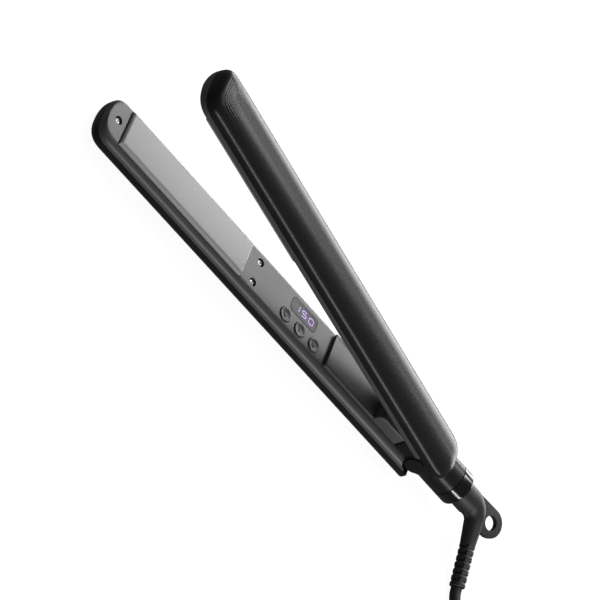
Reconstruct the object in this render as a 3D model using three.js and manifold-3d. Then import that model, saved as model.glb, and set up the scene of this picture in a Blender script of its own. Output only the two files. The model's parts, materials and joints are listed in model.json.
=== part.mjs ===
// Flat iron (hair straightener): two spring-opened arms on a hinge hub, floating heating plates,
// display and buttons on the lower arm, and a mains lead on a swivel boot.
// Millimetres, +Z up. +X runs from the tips to the lead, the controls face -Y, the floor is z = 0.
// Each arm is drawn in its own frame: origin on the hinge pin, x as above, z = 0 on the plane where
// the closed arms meet, and "depth" measured downwards from the arm's flat inner face.
import * as THREE from "three";
import { mergeVertices } from "three/addons/utils/BufferGeometryUtils.js";
import Module from "manifold-3d";

const wasm = await Module();
wasm.setup();

// ---------------------------------------------------------------- driving dimensions
const ARM_HALF_WIDTH = 15.8;
const ARM_DEPTH = 15.0; // inner face to crown
const FACE_GAP = 2.4; // inner face to the closed mid-plane
const PARTING_DEPTH = 5.3; // where inner cover and outer shell meet
const SIDE_WALL_DEPTH = 7.2; // where the crown starts
const CROWN_POWER = 2.15;
const CROWN_FLAT = 3.0; // half-width of the flat strip along the crown
const COVER_EDGE_RADIUS = 4.5;
const WALL = 1.8;
const PIVOT_TO_TIP = 277.2;
const LOWER_TAIL = 3; // how far the lower arm reaches behind the pin
const UPPER_TAIL = 15.5;
const END_LENGTH = 12.5; // of a rounded end, seen from above
const END_POWER = 3;
const END_CROWN_POWER = 0.8; // how the crown comes down over a rounded end
const OPENING_ANGLE = THREE.MathUtils.degToRad(11.8);

const FIT = 0.3; // gap between pieces that rest on each other
const SLIDE_GAP = 0.2; // gap round a piece that slides or turns

const PIN_RADIUS = 2.5;
const PIVOT_CAP_RADIUS = 5.75;
const PIVOT_CAP_THICKNESS = 0.8;
const KNUCKLE_RADIUS = 6.7;
const KNUCKLE_HALF_WIDTH = 13.2;
const FORK_HALF_WIDTH = 8.5;
const COLLAR_RADIUS = 11.35;
const COLLAR_FRONT = 13.9;
const RING_FRONT = 27.3;
const RING_LENGTH = 9.2;
const RING_EDGE = 2.0;
const COLLAR_BORE = 6.0;
const COLLAR_BORE_START = 8;

const PLATE_LENGTH = 104.4;
const PLATE_HALF_WIDTH = 12.2;
const PLATE_EDGE_RADIUS = 1.6;
const PLATE_RISE = 2.2; // plate top above the inner face
const PLATE_SKIRT_DEPTH = 3.2;
const PLATE_SETBACK = 13.8; // tip to plate
const PLATE_GAP = 0.5; // slot edge to plate

const TIP_SCREW_SETBACK = 7.5; // screw centre from the tip
const REAR_SCREW_GAP = 10; // plate to the rear screws' centres
const REAR_SCREW_SPREAD = 7.5;
const SCREW_HEAD_RADIUS = 2.1;
const SCREW_SHANK_RADIUS = 1.1;
const SCREW_LENGTH = 8.5;

const DISPLAY_X = -108.7;
const DISPLAY_Y = 5.0;
const DISPLAY_LENGTH = 22.3;
const DISPLAY_WIDTH = 9.7;
const DISPLAY_CORNER = 2.3;
const BUTTON_X = { plus: -120.6, minus: -107.8, power: -95.0 };
const BUTTON_Y = -6;
const BUTTON_RADIUS = 4.25;
const BUTTON_FLANGE = 0.8; // how far its flange reaches past the button
const BUTTON_PROUD = 0.8;
const BOARD_DEPTH = 8.3;
const BOARD_THICKNESS = 1.6;

const DECK_FRONT = -84.1;
const DECK_HALF_WIDTH = 12.0;
const DECK_RISE = 2.5;
const BLOCK_FRONT = -39.4;
const BLOCK_REAR = -17.6;
const BLOCK_HALF_WIDTH = 12.4;
const BLOCK_TOP = 6.3; // above the pin
const BLOCK_NOSE_RADIUS = 4.0;
const SPRING_X = -28.5;
const SPRING_RADIUS = 3.4; // to the wire's centre
const SPRING_WIRE = 0.45;

const BOOT_RADIUS = 8.2;
const BOOT_BEND_END_RADIUS = 5.7; // where the bend meets the straight leg
const BOOT_ELBOW_X = 53.9;
const BOOT_BEND_RADIUS = 10;
const BOOT_LEG = 46.3;
const BOOT_TAPER = 21;
const BOOT_END_RADIUS = 4.6;
const BOOT_GROOVE_DEPTH = 0.7;
const BOOT_GROOVES = 6;
const LEG_DIRECTION = new THREE.Vector3(0.343, -0.896, -0.27).normalize();
const HANG_HOLE_X = 66.2;
const HANG_HOLE_RADIUS = 4.4;
const HANG_TAB_RADIUS = 8.8;
const HANG_TAB_THICKNESS = 3.2;

const CORD_RADIUS = 3.3;
const TURN_PITCH = 6.7; // from one turn of the lead to the next
const HANK_CENTRE = [280, -47];
const HANK_STRAIGHT = 63.5;
const HANK_INNER_FOLD = 20.5; // fold radius of the inner turns, to the lead's centre
const HANK_LAYERS = 3;
const HANK_FLOOR_GAP = 1.3;

const PLUG_LENGTH = 30;
const PLUG_HALF_WIDTH = 19;
const PLUG_THICKNESS = 14;
const PLUG_Y = -53;
const PLUG_SLEEVE_START = 295;
const PLUG_SLEEVE_LENGTH = 16;
const PLUG_PIN_RADIUS = 2.4;
const PLUG_PIN_LENGTH = 19;
const PLUG_PIN_SPREAD = 9.5;

// ---------------------------------------------------------------- derived places
const TIP = -PIVOT_TO_TIP;
const TIP_SCREW_X = TIP + TIP_SCREW_SETBACK;
const RING_REAR = RING_FRONT + RING_LENGTH;
const PIVOT = new THREE.Vector3((PIVOT_TO_TIP - RING_REAR) / 2, 0, FACE_GAP + ARM_DEPTH);
const PLATE_FRONT = TIP + PLATE_SETBACK;
const PLATE_REAR = PLATE_FRONT + PLATE_LENGTH;
const PLATE_CENTRE = (PLATE_FRONT + PLATE_REAR) / 2;
const REAR_SCREW_X = PLATE_REAR + REAR_SCREW_GAP;
const PIN_BORE = PIN_RADIUS + FIT;
const DECK_BOTTOM = -FACE_GAP + FIT;
const HANK_OUTER_FOLD = HANK_INNER_FOLD + TURN_PITCH;
const HANK_TOP = HANK_FLOOR_GAP + (HANK_LAYERS - 1) * TURN_PITCH + 2 * CORD_RADIUS + SLIDE_GAP;

// ---------------------------------------------------------------- materials
const finish = (color, roughness, metalness = 0) =>
  new THREE.MeshStandardMaterial({ color, roughness, metalness });
const FINISHES = {
  casing: finish(0x2c2d2f, 0.5),
  cover: finish(0x4a4b4d, 0.55),
  innerPlastic: finish(0x3a3a3a, 0.7),
  rubber: finish(0x242424, 0.75),
  gloss: finish(0x060606, 0.08),
  display: finish(0x50505a, 0.25),
  ceramic: finish(0x9a9c9f, 0.35, 0.3),
  steel: finish(0xb8babd, 0.25, 1),
  board: finish(0x1d5a34, 0.6),
  heater: finish(0xb08d57, 0.5, 0.6),
  brass: finish(0xc9a64b, 0.3, 1),
  fabric: finish(0x161616, 0.9),
};

// ---------------------------------------------------------------- solids
const AXIS_X = new THREE.Vector3(1, 0, 0);
const AXIS_Y = new THREE.Vector3(0, 1, 0);
const AXIS_Z = new THREE.Vector3(0, 0, 1);
// A flat outline is drawn as (y, z) for x, (x, z) for y and (x, y) for z.
const DRAWN_ALONG = {
  x: new THREE.Matrix4().makeBasis(AXIS_Y, AXIS_Z, AXIS_X),
  y: new THREE.Matrix4().makeBasis(AXIS_X, AXIS_Z, AXIS_Y.clone().negate()),
  z: new THREE.Matrix4(),
};

function toSolid(geometry) {
  const bare = geometry.clone();
  bare.deleteAttribute("normal");
  bare.deleteAttribute("uv");
  const merged = mergeVertices(bare, 1e-4);
  const position = merged.attributes.position;
  const index = merged.index.array;
  const corners = [0, 1, 2].map(() => new THREE.Vector3());
  const triangles = [];
  let volume = 0;
  for (let i = 0; i < index.length; i += 3) {
    const [a, b, c] = index.slice(i, i + 3);
    if (a === b || b === c || c === a) continue;
    triangles.push([a, b, c]);
    [a, b, c].forEach((vertex, k) => corners[k].fromBufferAttribute(position, vertex));
    volume += corners[0].dot(corners[1].cross(corners[2]));
  }
  if (volume < 0) triangles.forEach((triangle) => triangle.reverse());
  return new wasm.Manifold(
    new wasm.Mesh({
      numProp: 3,
      vertProperties: new Float32Array(position.array),
      triVerts: new Uint32Array(triangles.flat()),
    }),
  );
}

function toGeometry(solid) {
  const { vertProperties, triVerts } = solid.getMesh();
  const geometry = new THREE.BufferGeometry();
  geometry.setAttribute("position", new THREE.BufferAttribute(new Float32Array(vertProperties), 3));
  geometry.setIndex(new THREE.BufferAttribute(new Uint32Array(triVerts), 1));
  geometry.computeVertexNormals();
  return geometry;
}

const joined = (...solids) => solids.reduce((all, solid) => all.add(solid));
const cut = (solid, ...tools) => tools.reduce((rest, tool) => rest.subtract(tool), solid);

function box([x0, x1], [y0, y1], [z0, z1]) {
  const geometry = new THREE.BoxGeometry(x1 - x0, y1 - y0, z1 - z0);
  return toSolid(geometry.translate((x0 + x1) / 2, (y0 + y1) / 2, (z0 + z1) / 2));
}

// A flat outline drawn out along one axis, from one coordinate to another.
function prism(outline, axis, from, to, curveSegments = 3) {
  const geometry = new THREE.ExtrudeGeometry(outline, {
    depth: to - from,
    bevelEnabled: false,
    curveSegments,
  });
  geometry.translate(0, 0, axis === "y" ? -to : from);
  return toSolid(geometry.applyMatrix4(DRAWN_ALONG[axis]));
}

// A profile of [radius, distance along the axis] turned about the axis, then moved to centre.
function turned(profile, axis, centre = [0, 0, 0], segments = 24) {
  const points = profile.map(([radius, along]) => new THREE.Vector2(radius, along));
  const geometry = new THREE.LatheGeometry(points, segments);
  const direction = { x: AXIS_X, y: AXIS_Y, z: AXIS_Z }[axis];
  geometry.applyQuaternion(new THREE.Quaternion().setFromUnitVectors(AXIS_Y, direction));
  return toSolid(geometry.translate(...centre));
}

const rod = (radius, axis, from, to, centre, segments) =>
  turned([[0, from], [radius, from], [radius, to], [0, to]], axis, centre, segments);
const tube = (outer, inner, axis, from, to, centre, segments) =>
  turned([[inner, from], [outer, from], [outer, to], [inner, to], [inner, from]], axis, centre, segments);

// Rings of points with equal counts, skinned one to the next and capped at both ends.
function loft(rings) {
  const count = rings[0].length;
  const middle = (ring) =>
    ring.reduce((sum, point) => sum.add(point), new THREE.Vector3()).divideScalar(count);
  const points = [...rings.flat(), middle(rings[0]), middle(rings.at(-1))];
  const index = [];
  for (let k = 0; k < count; k++) {
    const next = (k + 1) % count;
    for (let r = 0; r + 1 < rings.length; r++) {
      const here = r * count;
      const there = here + count;
      index.push(here + k, here + next, there + next, here + k, there + next, there + k);
    }
    const last = (rings.length - 1) * count;
    index.push(rings.length * count, next, k, rings.length * count + 1, last + k, last + next);
  }
  const geometry = new THREE.BufferGeometry().setFromPoints(points);
  geometry.setIndex(index);
  return toSolid(geometry);
}

function roundedRectangle(x, y, halfLength, halfWidth, corner) {
  const shape = new THREE.Shape();
  shape.absarc(x + halfLength - corner, y + halfWidth - corner, corner, 0, Math.PI / 2);
  shape.absarc(x - halfLength + corner, y + halfWidth - corner, corner, Math.PI / 2, Math.PI);
  shape.absarc(x - halfLength + corner, y - halfWidth + corner, corner, Math.PI, 1.5 * Math.PI);
  shape.absarc(x + halfLength - corner, y - halfWidth + corner, corner, 1.5 * Math.PI, 2 * Math.PI);
  shape.closePath();
  return shape;
}

// A helical compression spring with its axis along z.
function coilSpring(x, bottom, top, radius, wire, turns) {
  class Helix extends THREE.Curve {
    getPoint(t, target = new THREE.Vector3()) {
      const angle = 2 * Math.PI * turns * t;
      const z = bottom + wire + (top - bottom - 2 * wire) * t;
      return target.set(x + radius * Math.cos(angle), radius * Math.sin(angle), z);
    }
  }
  const section = new THREE.Shape().absarc(0, 0, wire * 0.95, 0, 2 * Math.PI);
  return toSolid(
    new THREE.ExtrudeGeometry(section, {
      steps: turns * 9,
      curveSegments: 3,
      extrudePath: new Helix(),
    }),
  );
}

// ---------------------------------------------------------------- the object's tree
const flatIron = new THREE.Group();
const lowerArm = new THREE.Group();
const upperArm = new THREE.Group();
const upperArmTurned = new THREE.Group();
lowerArm.position.copy(PIVOT);
upperArm.position.copy(PIVOT);
upperArm.rotation.y = OPENING_ANGLE;
upperArmTurned.rotation.x = Math.PI;
upperArm.add(upperArmTurned);
flatIron.add(lowerArm, upperArm);

function place(parent, name, solid, material) {
  const mesh = new THREE.Mesh(toGeometry(solid), material);
  mesh.name = name;
  parent.add(mesh);
}

const faceZ = (depth) => -FACE_GAP - depth;
const slab = (xs, ys, [top, bottom]) => box(xs, ys, [faceZ(bottom), faceZ(top)]);

// ---------------------------------------------------------------- arm casings
// How wide a rounded end is at its stations: x, and the share of the full width there.
const END_ANGLES = [10, 24, 38, 52, 66, 78, 90].map(THREE.MathUtils.degToRad);
const roundEnd = (end, direction, inset) =>
  END_ANGLES.map((angle) => ({
    x: end + direction * (END_LENGTH - (END_LENGTH - inset) * Math.cos(angle) ** (2 / END_POWER)),
    share: Math.sin(angle) ** (2 / END_POWER),
  }));

function armStations(inset, tail) {
  const stations = roundEnd(TIP, 1, inset);
  if (tail === LOWER_TAIL) {
    return [...stations, { x: tail - inset, share: 1 }];
  }
  return [...stations, ...roundEnd(tail, -1, inset).reverse()];
}

const CROWN_STEPS = 9;
function crownRing({ x, share }, halfWidth, crown, top) {
  const width = halfWidth * share;
  const flat = CROWN_FLAT * share;
  const height = (crown - SIDE_WALL_DEPTH) * share ** END_CROWN_POWER;
  const half = [[width, top]];
  for (let k = 0; k <= CROWN_STEPS; k++) {
    const angle = (k / CROWN_STEPS) * (Math.PI / 2);
    half.push([
      flat + (width - flat) * Math.cos(angle) ** (2 / CROWN_POWER),
      SIDE_WALL_DEPTH + height * Math.sin(angle) ** (2 / CROWN_POWER),
    ]);
  }
  const mirrored = half.map(([y, depth]) => [-y, depth]).reverse();
  return [...half, ...mirrored].map(([y, depth]) => new THREE.Vector3(x, y, faceZ(depth)));
}

function coverRing({ x, share }, radius, top, bottom, edge) {
  const width = radius * share;
  const round = Math.min(edge, 0.9 * width);
  const half = [[width, bottom]];
  for (let k = 0; k <= 5; k++) {
    const angle = (k / 5) * (Math.PI / 2);
    half.push([width - round + round * Math.cos(angle), top + edge * (1 - Math.sin(angle))]);
  }
  const mirrored = half.map(([y, depth]) => [-y, depth]).reverse();
  return [...half, ...mirrored].map(([y, depth]) => new THREE.Vector3(x, y, faceZ(depth)));
}

function armShell(tail) {
  const inner = ARM_HALF_WIDTH - WALL;
  const outside = armStations(0, tail).map((station) =>
    crownRing(station, ARM_HALF_WIDTH, ARM_DEPTH, PARTING_DEPTH),
  );
  const inside = armStations(WALL, tail).map((station) =>
    crownRing(station, inner, ARM_DEPTH - WALL, PARTING_DEPTH - 1),
  );
  return cut(loft(outside), loft(inside));
}

function armCover(tail) {
  const inner = ARM_HALF_WIDTH - WALL;
  const outside = armStations(0, tail).map((station) =>
    coverRing(station, ARM_HALF_WIDTH, 0, PARTING_DEPTH - SLIDE_GAP, COVER_EDGE_RADIUS),
  );
  const inside = armStations(WALL, tail).map((station) =>
    coverRing(station, inner, WALL, PARTING_DEPTH + 1, COVER_EDGE_RADIUS - WALL),
  );
  return cut(loft(outside), loft(inside));
}

const SCREW_PLACES = [
  ["tip_screw", TIP_SCREW_X, 0],
  ["rear_screw_left", REAR_SCREW_X, REAR_SCREW_SPREAD],
  ["rear_screw_right", REAR_SCREW_X, -REAR_SCREW_SPREAD],
];
const SCREW_HEAD_TOP = 0.5;
const SCREW_HEAD_HEIGHT = 1.5;
const SEAT_DEPTH = SCREW_HEAD_TOP + SCREW_HEAD_HEIGHT + SLIDE_GAP / 2;
const BOSS_DEPTH = SEAT_DEPTH + 2;

// The screw has a cross recess in its head and runs down into the shell's post.
function screw(x, y) {
  const headTop = faceZ(SCREW_HEAD_TOP);
  const under = headTop - SCREW_HEAD_HEIGHT;
  const end = under - SCREW_LENGTH;
  const body = turned(
    [
      [0, end],
      [SCREW_SHANK_RADIUS, end],
      [SCREW_SHANK_RADIUS, under],
      [SCREW_HEAD_RADIUS, under],
      [SCREW_HEAD_RADIUS, headTop - 0.3],
      [SCREW_HEAD_RADIUS - 0.4, headTop],
      [0, headTop],
    ],
    "z",
    [x, y, 0],
    16,
  );
  const arm = 1.3;
  const slot = 0.25;
  const recess = [headTop - 0.9, headTop + 1];
  return cut(
    body,
    box([x - arm, x + arm], [y - slot, y + slot], recess),
    box([x - slot, x + slot], [y - arm, y + arm], recess),
  );
}

function coverWithScrewSeats(tail) {
  let cover = armCover(tail);
  for (const [, x, y] of SCREW_PLACES) {
    const boss = rod(SCREW_HEAD_RADIUS + 1.3, "z", faceZ(BOSS_DEPTH), faceZ(WALL / 2), [x, y, 0], 16);
    const seat = rod(SCREW_HEAD_RADIUS + FIT, "z", faceZ(SEAT_DEPTH), 0, [x, y, 0], 16);
    const hole = rod(SCREW_SHANK_RADIUS + FIT, "z", faceZ(BOSS_DEPTH + 1), 0, [x, y, 0], 16);
    cover = cut(joined(cover, boss), seat, hole);
  }
  const slot = {
    x: [PLATE_FRONT - PLATE_GAP, PLATE_REAR + PLATE_GAP],
    y: [-PLATE_HALF_WIDTH - PLATE_GAP, PLATE_HALF_WIDTH + PLATE_GAP],
  };
  return cut(cover, slab(slot.x, slot.y, [-1, PARTING_DEPTH + 2]));
}

function shellWithPosts(tail) {
  let shell = armShell(tail);
  for (const [, x, y] of SCREW_PLACES) {
    const post = [faceZ(ARM_DEPTH - WALL - SLIDE_GAP), faceZ(BOSS_DEPTH + FIT)];
    const outer = rod(SCREW_SHANK_RADIUS + 1.5, "z", ...post, [x, y, 0], 12);
    const bore = rod(
      SCREW_SHANK_RADIUS + FIT,
      "z",
      faceZ(SEAT_DEPTH + SCREW_LENGTH + FIT),
      0,
      [x, y, 0],
      12,
    );
    shell = cut(joined(shell, outer), bore);
  }
  return shell;
}

function placeScrews(parent, prefix) {
  for (const [name, x, y] of SCREW_PLACES) {
    place(parent, `${prefix}_${name}`, screw(x, y), FINISHES.steel);
  }
}

// ---------------------------------------------------------------- heating plates
const HEATER_DEPTHS = [0.6, 3.0];
const CLIP_DEPTHS = [3.3, 4.0];
const CARRIER_DEPTHS = [8.6, 10.0];
const PLATE_SPRING_SPREAD = 27;

function heatingPlate() {
  const half = PLATE_HALF_WIDTH;
  const web = half - PLATE_EDGE_RADIUS;
  const top = faceZ(-PLATE_RISE);
  const section = new THREE.Shape();
  section.moveTo(-web, faceZ(0.3));
  section.lineTo(-web, faceZ(PLATE_SKIRT_DEPTH));
  section.lineTo(-half, faceZ(PLATE_SKIRT_DEPTH));
  section.lineTo(-half, top - PLATE_EDGE_RADIUS);
  section.absarc(-web, top - PLATE_EDGE_RADIUS, PLATE_EDGE_RADIUS, Math.PI, Math.PI / 2, true);
  section.lineTo(web, top);
  section.absarc(web, top - PLATE_EDGE_RADIUS, PLATE_EDGE_RADIUS, Math.PI / 2, 0, true);
  section.lineTo(half, faceZ(PLATE_SKIRT_DEPTH));
  section.lineTo(web, faceZ(PLATE_SKIRT_DEPTH));
  section.lineTo(web, faceZ(0.3));
  section.closePath();
  return prism(section, "x", PLATE_FRONT, PLATE_REAR);
}

function placePlateParts(parent, prefix) {
  const along = (margin) => [PLATE_FRONT + margin, PLATE_REAR - margin];
  const rear = PLATE_REAR - 14;
  place(parent, `${prefix}_heating_plate`, heatingPlate(), FINISHES.ceramic);
  place(parent, `${prefix}_heater_element`, slab(along(7), [-7, 7], HEATER_DEPTHS), FINISHES.heater);
  place(parent, `${prefix}_pressure_clip`, slab(along(11), [-9.8, 9.8], CLIP_DEPTHS), FINISHES.steel);
  if (prefix === "lower") {
    const bead = slab([rear, rear + 5], [-2, 2], [CLIP_DEPTHS[1] + FIT, CLIP_DEPTHS[1] + 2.2]);
    place(parent, "lower_thermistor", bead, FINISHES.brass);
  } else {
    const centre = [0, 0, faceZ(CLIP_DEPTHS[1] + FIT + 1.2)];
    place(parent, "upper_thermal_fuse", rod(1.2, "x", rear, rear + 8, centre, 10), FINISHES.brass);
  }
  const carrier = slab(along(3), [-11.6, 11.6], CARRIER_DEPTHS);
  place(parent, `${prefix}_plate_carrier`, carrier, FINISHES.innerPlastic);
  const seats = [faceZ(CARRIER_DEPTHS[0] - FIT), faceZ(CLIP_DEPTHS[1] + FIT)];
  for (const [name, side] of [["front", -1], ["rear", 1]]) {
    const x = PLATE_CENTRE + side * PLATE_SPRING_SPREAD;
    const spring = coilSpring(x, ...seats, 2.6, 0.35, 3);
    place(parent, `${prefix}_${name}_plate_spring`, spring, FINISHES.steel);
  }
}

// ---------------------------------------------------------------- controls
const FLANGE_DEPTHS = [WALL + FIT, WALL + FIT + 0.6];
const SWITCH_DEPTHS = [5.1, BOARD_DEPTH - FIT];
const SWITCH_PLUNGER_DEPTH = 4.9;
const STEM_DEPTH = 4.2;
const BUTTON_DISH = 0.35;

function button(x) {
  const top = faceZ(-BUTTON_PROUD);
  const profile = [
    [0, faceZ(STEM_DEPTH)],
    [1.2, faceZ(STEM_DEPTH)],
    [1.2, faceZ(FLANGE_DEPTHS[1])],
    [BUTTON_RADIUS + BUTTON_FLANGE, faceZ(FLANGE_DEPTHS[1])],
    [BUTTON_RADIUS + BUTTON_FLANGE, faceZ(FLANGE_DEPTHS[0])],
    [BUTTON_RADIUS, faceZ(FLANGE_DEPTHS[0])],
    [BUTTON_RADIUS, top - 0.4],
    [BUTTON_RADIUS - 0.4, top],
    [BUTTON_RADIUS - 1.2, top - BUTTON_DISH / 2],
    [BUTTON_RADIUS - 2.4, top - BUTTON_DISH],
    [0, top - BUTTON_DISH * 1.3],
  ];
  return turned(profile, "z", [x, BUTTON_Y, 0], 24);
}

function tactSwitch(x) {
  const body = slab([x - 3, x + 3], [BUTTON_Y - 3, BUTTON_Y + 3], SWITCH_DEPTHS);
  const plunger = rod(1.6, "z", faceZ(6), faceZ(SWITCH_PLUNGER_DEPTH), [x, BUTTON_Y, 0], 12);
  return joined(body, plunger);
}

const displayOutline = (margin) =>
  roundedRectangle(
    DISPLAY_X,
    DISPLAY_Y,
    DISPLAY_LENGTH / 2 + margin,
    DISPLAY_WIDTH / 2 + margin,
    DISPLAY_CORNER + margin,
  );

function placeControls(parent) {
  for (const [name, x] of Object.entries(BUTTON_X)) {
    place(parent, `${name}_button`, button(x), FINISHES.cover);
    place(parent, `${name}_switch`, tactSwitch(x), FINISHES.innerPlastic);
  }
  const window = prism(displayOutline(0), "z", faceZ(WALL), faceZ(-0.1));
  place(parent, "display_window", window, FINISHES.display);
  const xs = [DISPLAY_X - DISPLAY_LENGTH / 2 - 1, DISPLAY_X + DISPLAY_LENGTH / 2 + 1];
  const flangeEdge = BUTTON_Y + BUTTON_RADIUS + BUTTON_FLANGE + SLIDE_GAP;
  const moduleEdge = Math.max(DISPLAY_Y - DISPLAY_WIDTH / 2 - 0.6, flangeEdge);
  const ys = [moduleEdge, DISPLAY_Y + DISPLAY_WIDTH / 2 + 0.8];
  place(parent, "display_module", slab(xs, ys, [WALL + FIT, BOARD_DEPTH - FIT]), FINISHES.innerPlastic);
  const boardEnds = [REAR_SCREW_X + 5, BUTTON_X.power + 8];
  const board = slab(boardEnds, [-12.2, 12.2], [BOARD_DEPTH, BOARD_DEPTH + BOARD_THICKNESS]);
  place(parent, "control_board", board, FINISHES.board);
  const loomZ = faceZ(BOARD_DEPTH + BOARD_THICKNESS / 2);
  const loom = rod(1.5, "x", boardEnds[1] + FIT, HUB_BASE[0] - FIT, [0, 0, loomZ], 10);
  place(parent, "wiring_loom", loom, FINISHES.rubber);
}

// ---------------------------------------------------------------- hinge
const HUB_BASE = [-32, -2];
const HUB_BASE_HALF_WIDTH = 10.4;
const HUB_BASE_DEPTHS = [0.1, 9.6];
const LUG_HALF_WIDTH = 12.7;
const LUG_FRONT = -17.3;
const FORK_DEPTH = 7.1; // below the pin, where the fork between the cheeks ends

// Section of the hub's rear, from a flat-sided knuckle to the round collar.
function hubRing(x, halfWidth, halfHeight, power, count = 24) {
  return Array.from({ length: count }, (_, k) => {
    const angle = ((k + 0.5) / count) * 2 * Math.PI;
    const [c, s] = [Math.cos(angle), Math.sin(angle)];
    const y = halfWidth * Math.sign(c) * Math.abs(c) ** (2 / power);
    const z = halfHeight * Math.sign(s) * Math.abs(s) ** (2 / power);
    return new THREE.Vector3(x, y, z);
  });
}

function hingeHub() {
  const knuckle = rod(
    KNUCKLE_RADIUS,
    "y",
    -KNUCKLE_HALF_WIDTH,
    KNUCKLE_HALF_WIDTH,
    [0, 0, 0],
    32,
  );
  const lug = box([LUG_FRONT, 0], [-LUG_HALF_WIDTH, LUG_HALF_WIDTH], [DECK_BOTTOM, BLOCK_TOP]);
  const base = slab(HUB_BASE, [-HUB_BASE_HALF_WIDTH, HUB_BASE_HALF_WIDTH], HUB_BASE_DEPTHS);
  const stem = box([LUG_FRONT, HUB_BASE[1]], [-HUB_BASE_HALF_WIDTH, HUB_BASE_HALF_WIDTH], [-4, 0]);
  const neck = loft([
    hubRing(0, KNUCKLE_HALF_WIDTH, KNUCKLE_RADIUS, 8),
    hubRing(COLLAR_FRONT / 2, (KNUCKLE_HALF_WIDTH + COLLAR_RADIUS) / 2, 8.8, 4),
    hubRing(COLLAR_FRONT, COLLAR_RADIUS, COLLAR_RADIUS, 2),
    hubRing(RING_FRONT - FIT, COLLAR_RADIUS, COLLAR_RADIUS, 2),
  ]);
  const fork = box([-7.5, COLLAR_BORE_START], [-FORK_HALF_WIDTH, FORK_HALF_WIDTH], [-FORK_DEPTH, 12]);
  const bore = rod(COLLAR_BORE, "x", COLLAR_BORE_START - 1, RING_FRONT + 1);
  const pinBore = rod(PIN_BORE, "y", -20, 20);
  return cut(joined(knuckle, lug, stem, base, neck), fork, bore, pinBore);
}

// Deck behind the controls and the raised block in front of the pin, with the spring's pocket.
function hingeCover() {
  const deckWidth = [-DECK_HALF_WIDTH, DECK_HALF_WIDTH];
  const deck = box([DECK_FRONT, BLOCK_REAR], deckWidth, [DECK_BOTTOM, -FACE_GAP + DECK_RISE]);
  const side = new THREE.Shape();
  side.moveTo(BLOCK_FRONT, DECK_BOTTOM);
  side.lineTo(BLOCK_REAR, DECK_BOTTOM);
  side.lineTo(BLOCK_REAR, BLOCK_TOP);
  side.lineTo(BLOCK_FRONT + BLOCK_NOSE_RADIUS, BLOCK_TOP);
  side.absarc(
    BLOCK_FRONT + BLOCK_NOSE_RADIUS,
    BLOCK_TOP - BLOCK_NOSE_RADIUS,
    BLOCK_NOSE_RADIUS,
    Math.PI / 2,
    Math.PI,
  );
  side.closePath();
  const block = prism(side, "y", -BLOCK_HALF_WIDTH, BLOCK_HALF_WIDTH);
  const pocket = rod(SPRING_RADIUS + SPRING_WIRE + 0.6, "z", -9, 9, [SPRING_X, 0, 0], 20);
  return cut(joined(deck, block), pocket);
}

// The upper arm's bracket, in that arm's own frame: a barrel on the pin and a plate inside the shell.
const BRACKET_PLATE = [-BLOCK_TOP - 3, -BLOCK_TOP - 0.5];
const BARREL_RADIUS = 6.2;
const BARREL_HALF_WIDTH = FORK_HALF_WIDTH - FIT;
function hingeBracket() {
  const barrel = rod(BARREL_RADIUS, "y", -BARREL_HALF_WIDTH, BARREL_HALF_WIDTH, [0, 0, 0], 28);
  const neck = box([-5.9, 2.5], [-BARREL_HALF_WIDTH, BARREL_HALF_WIDTH], [BRACKET_PLATE[0], 0]);
  const plate = box([-60, -5], [-10.5, 10.5], BRACKET_PLATE);
  return cut(joined(barrel, neck, plate), rod(PIN_BORE, "y", -20, 20));
}

const springSeat = faceZ(HUB_BASE_DEPTHS[0]) + FIT;
function openingSpring() {
  const reach = -SPRING_X - SPRING_RADIUS - SPRING_WIRE;
  const under = reach * Math.tan(OPENING_ANGLE) - BRACKET_PLATE[1] / Math.cos(OPENING_ANGLE);
  return coilSpring(SPRING_X, springSeat, under - FIT, SPRING_RADIUS, SPRING_WIRE, 5);
}

// What the hub's neck and collar sweep as the upper arm turns about the pin, in that arm's frame.
function hubSweeps() {
  const clearance = 0.5;
  return [0, 1 / 3, 2 / 3, 1].map((share) =>
    loft([
      hubRing(-1, KNUCKLE_HALF_WIDTH + clearance, KNUCKLE_RADIUS + clearance, 8),
      hubRing(COLLAR_FRONT, COLLAR_RADIUS + clearance, COLLAR_RADIUS + clearance, 2),
      hubRing(RING_FRONT, COLLAR_RADIUS + clearance, COLLAR_RADIUS + clearance, 2),
    ]).rotate([0, THREE.MathUtils.radToDeg(OPENING_ANGLE) * share, 0]),
  );
}

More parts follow.
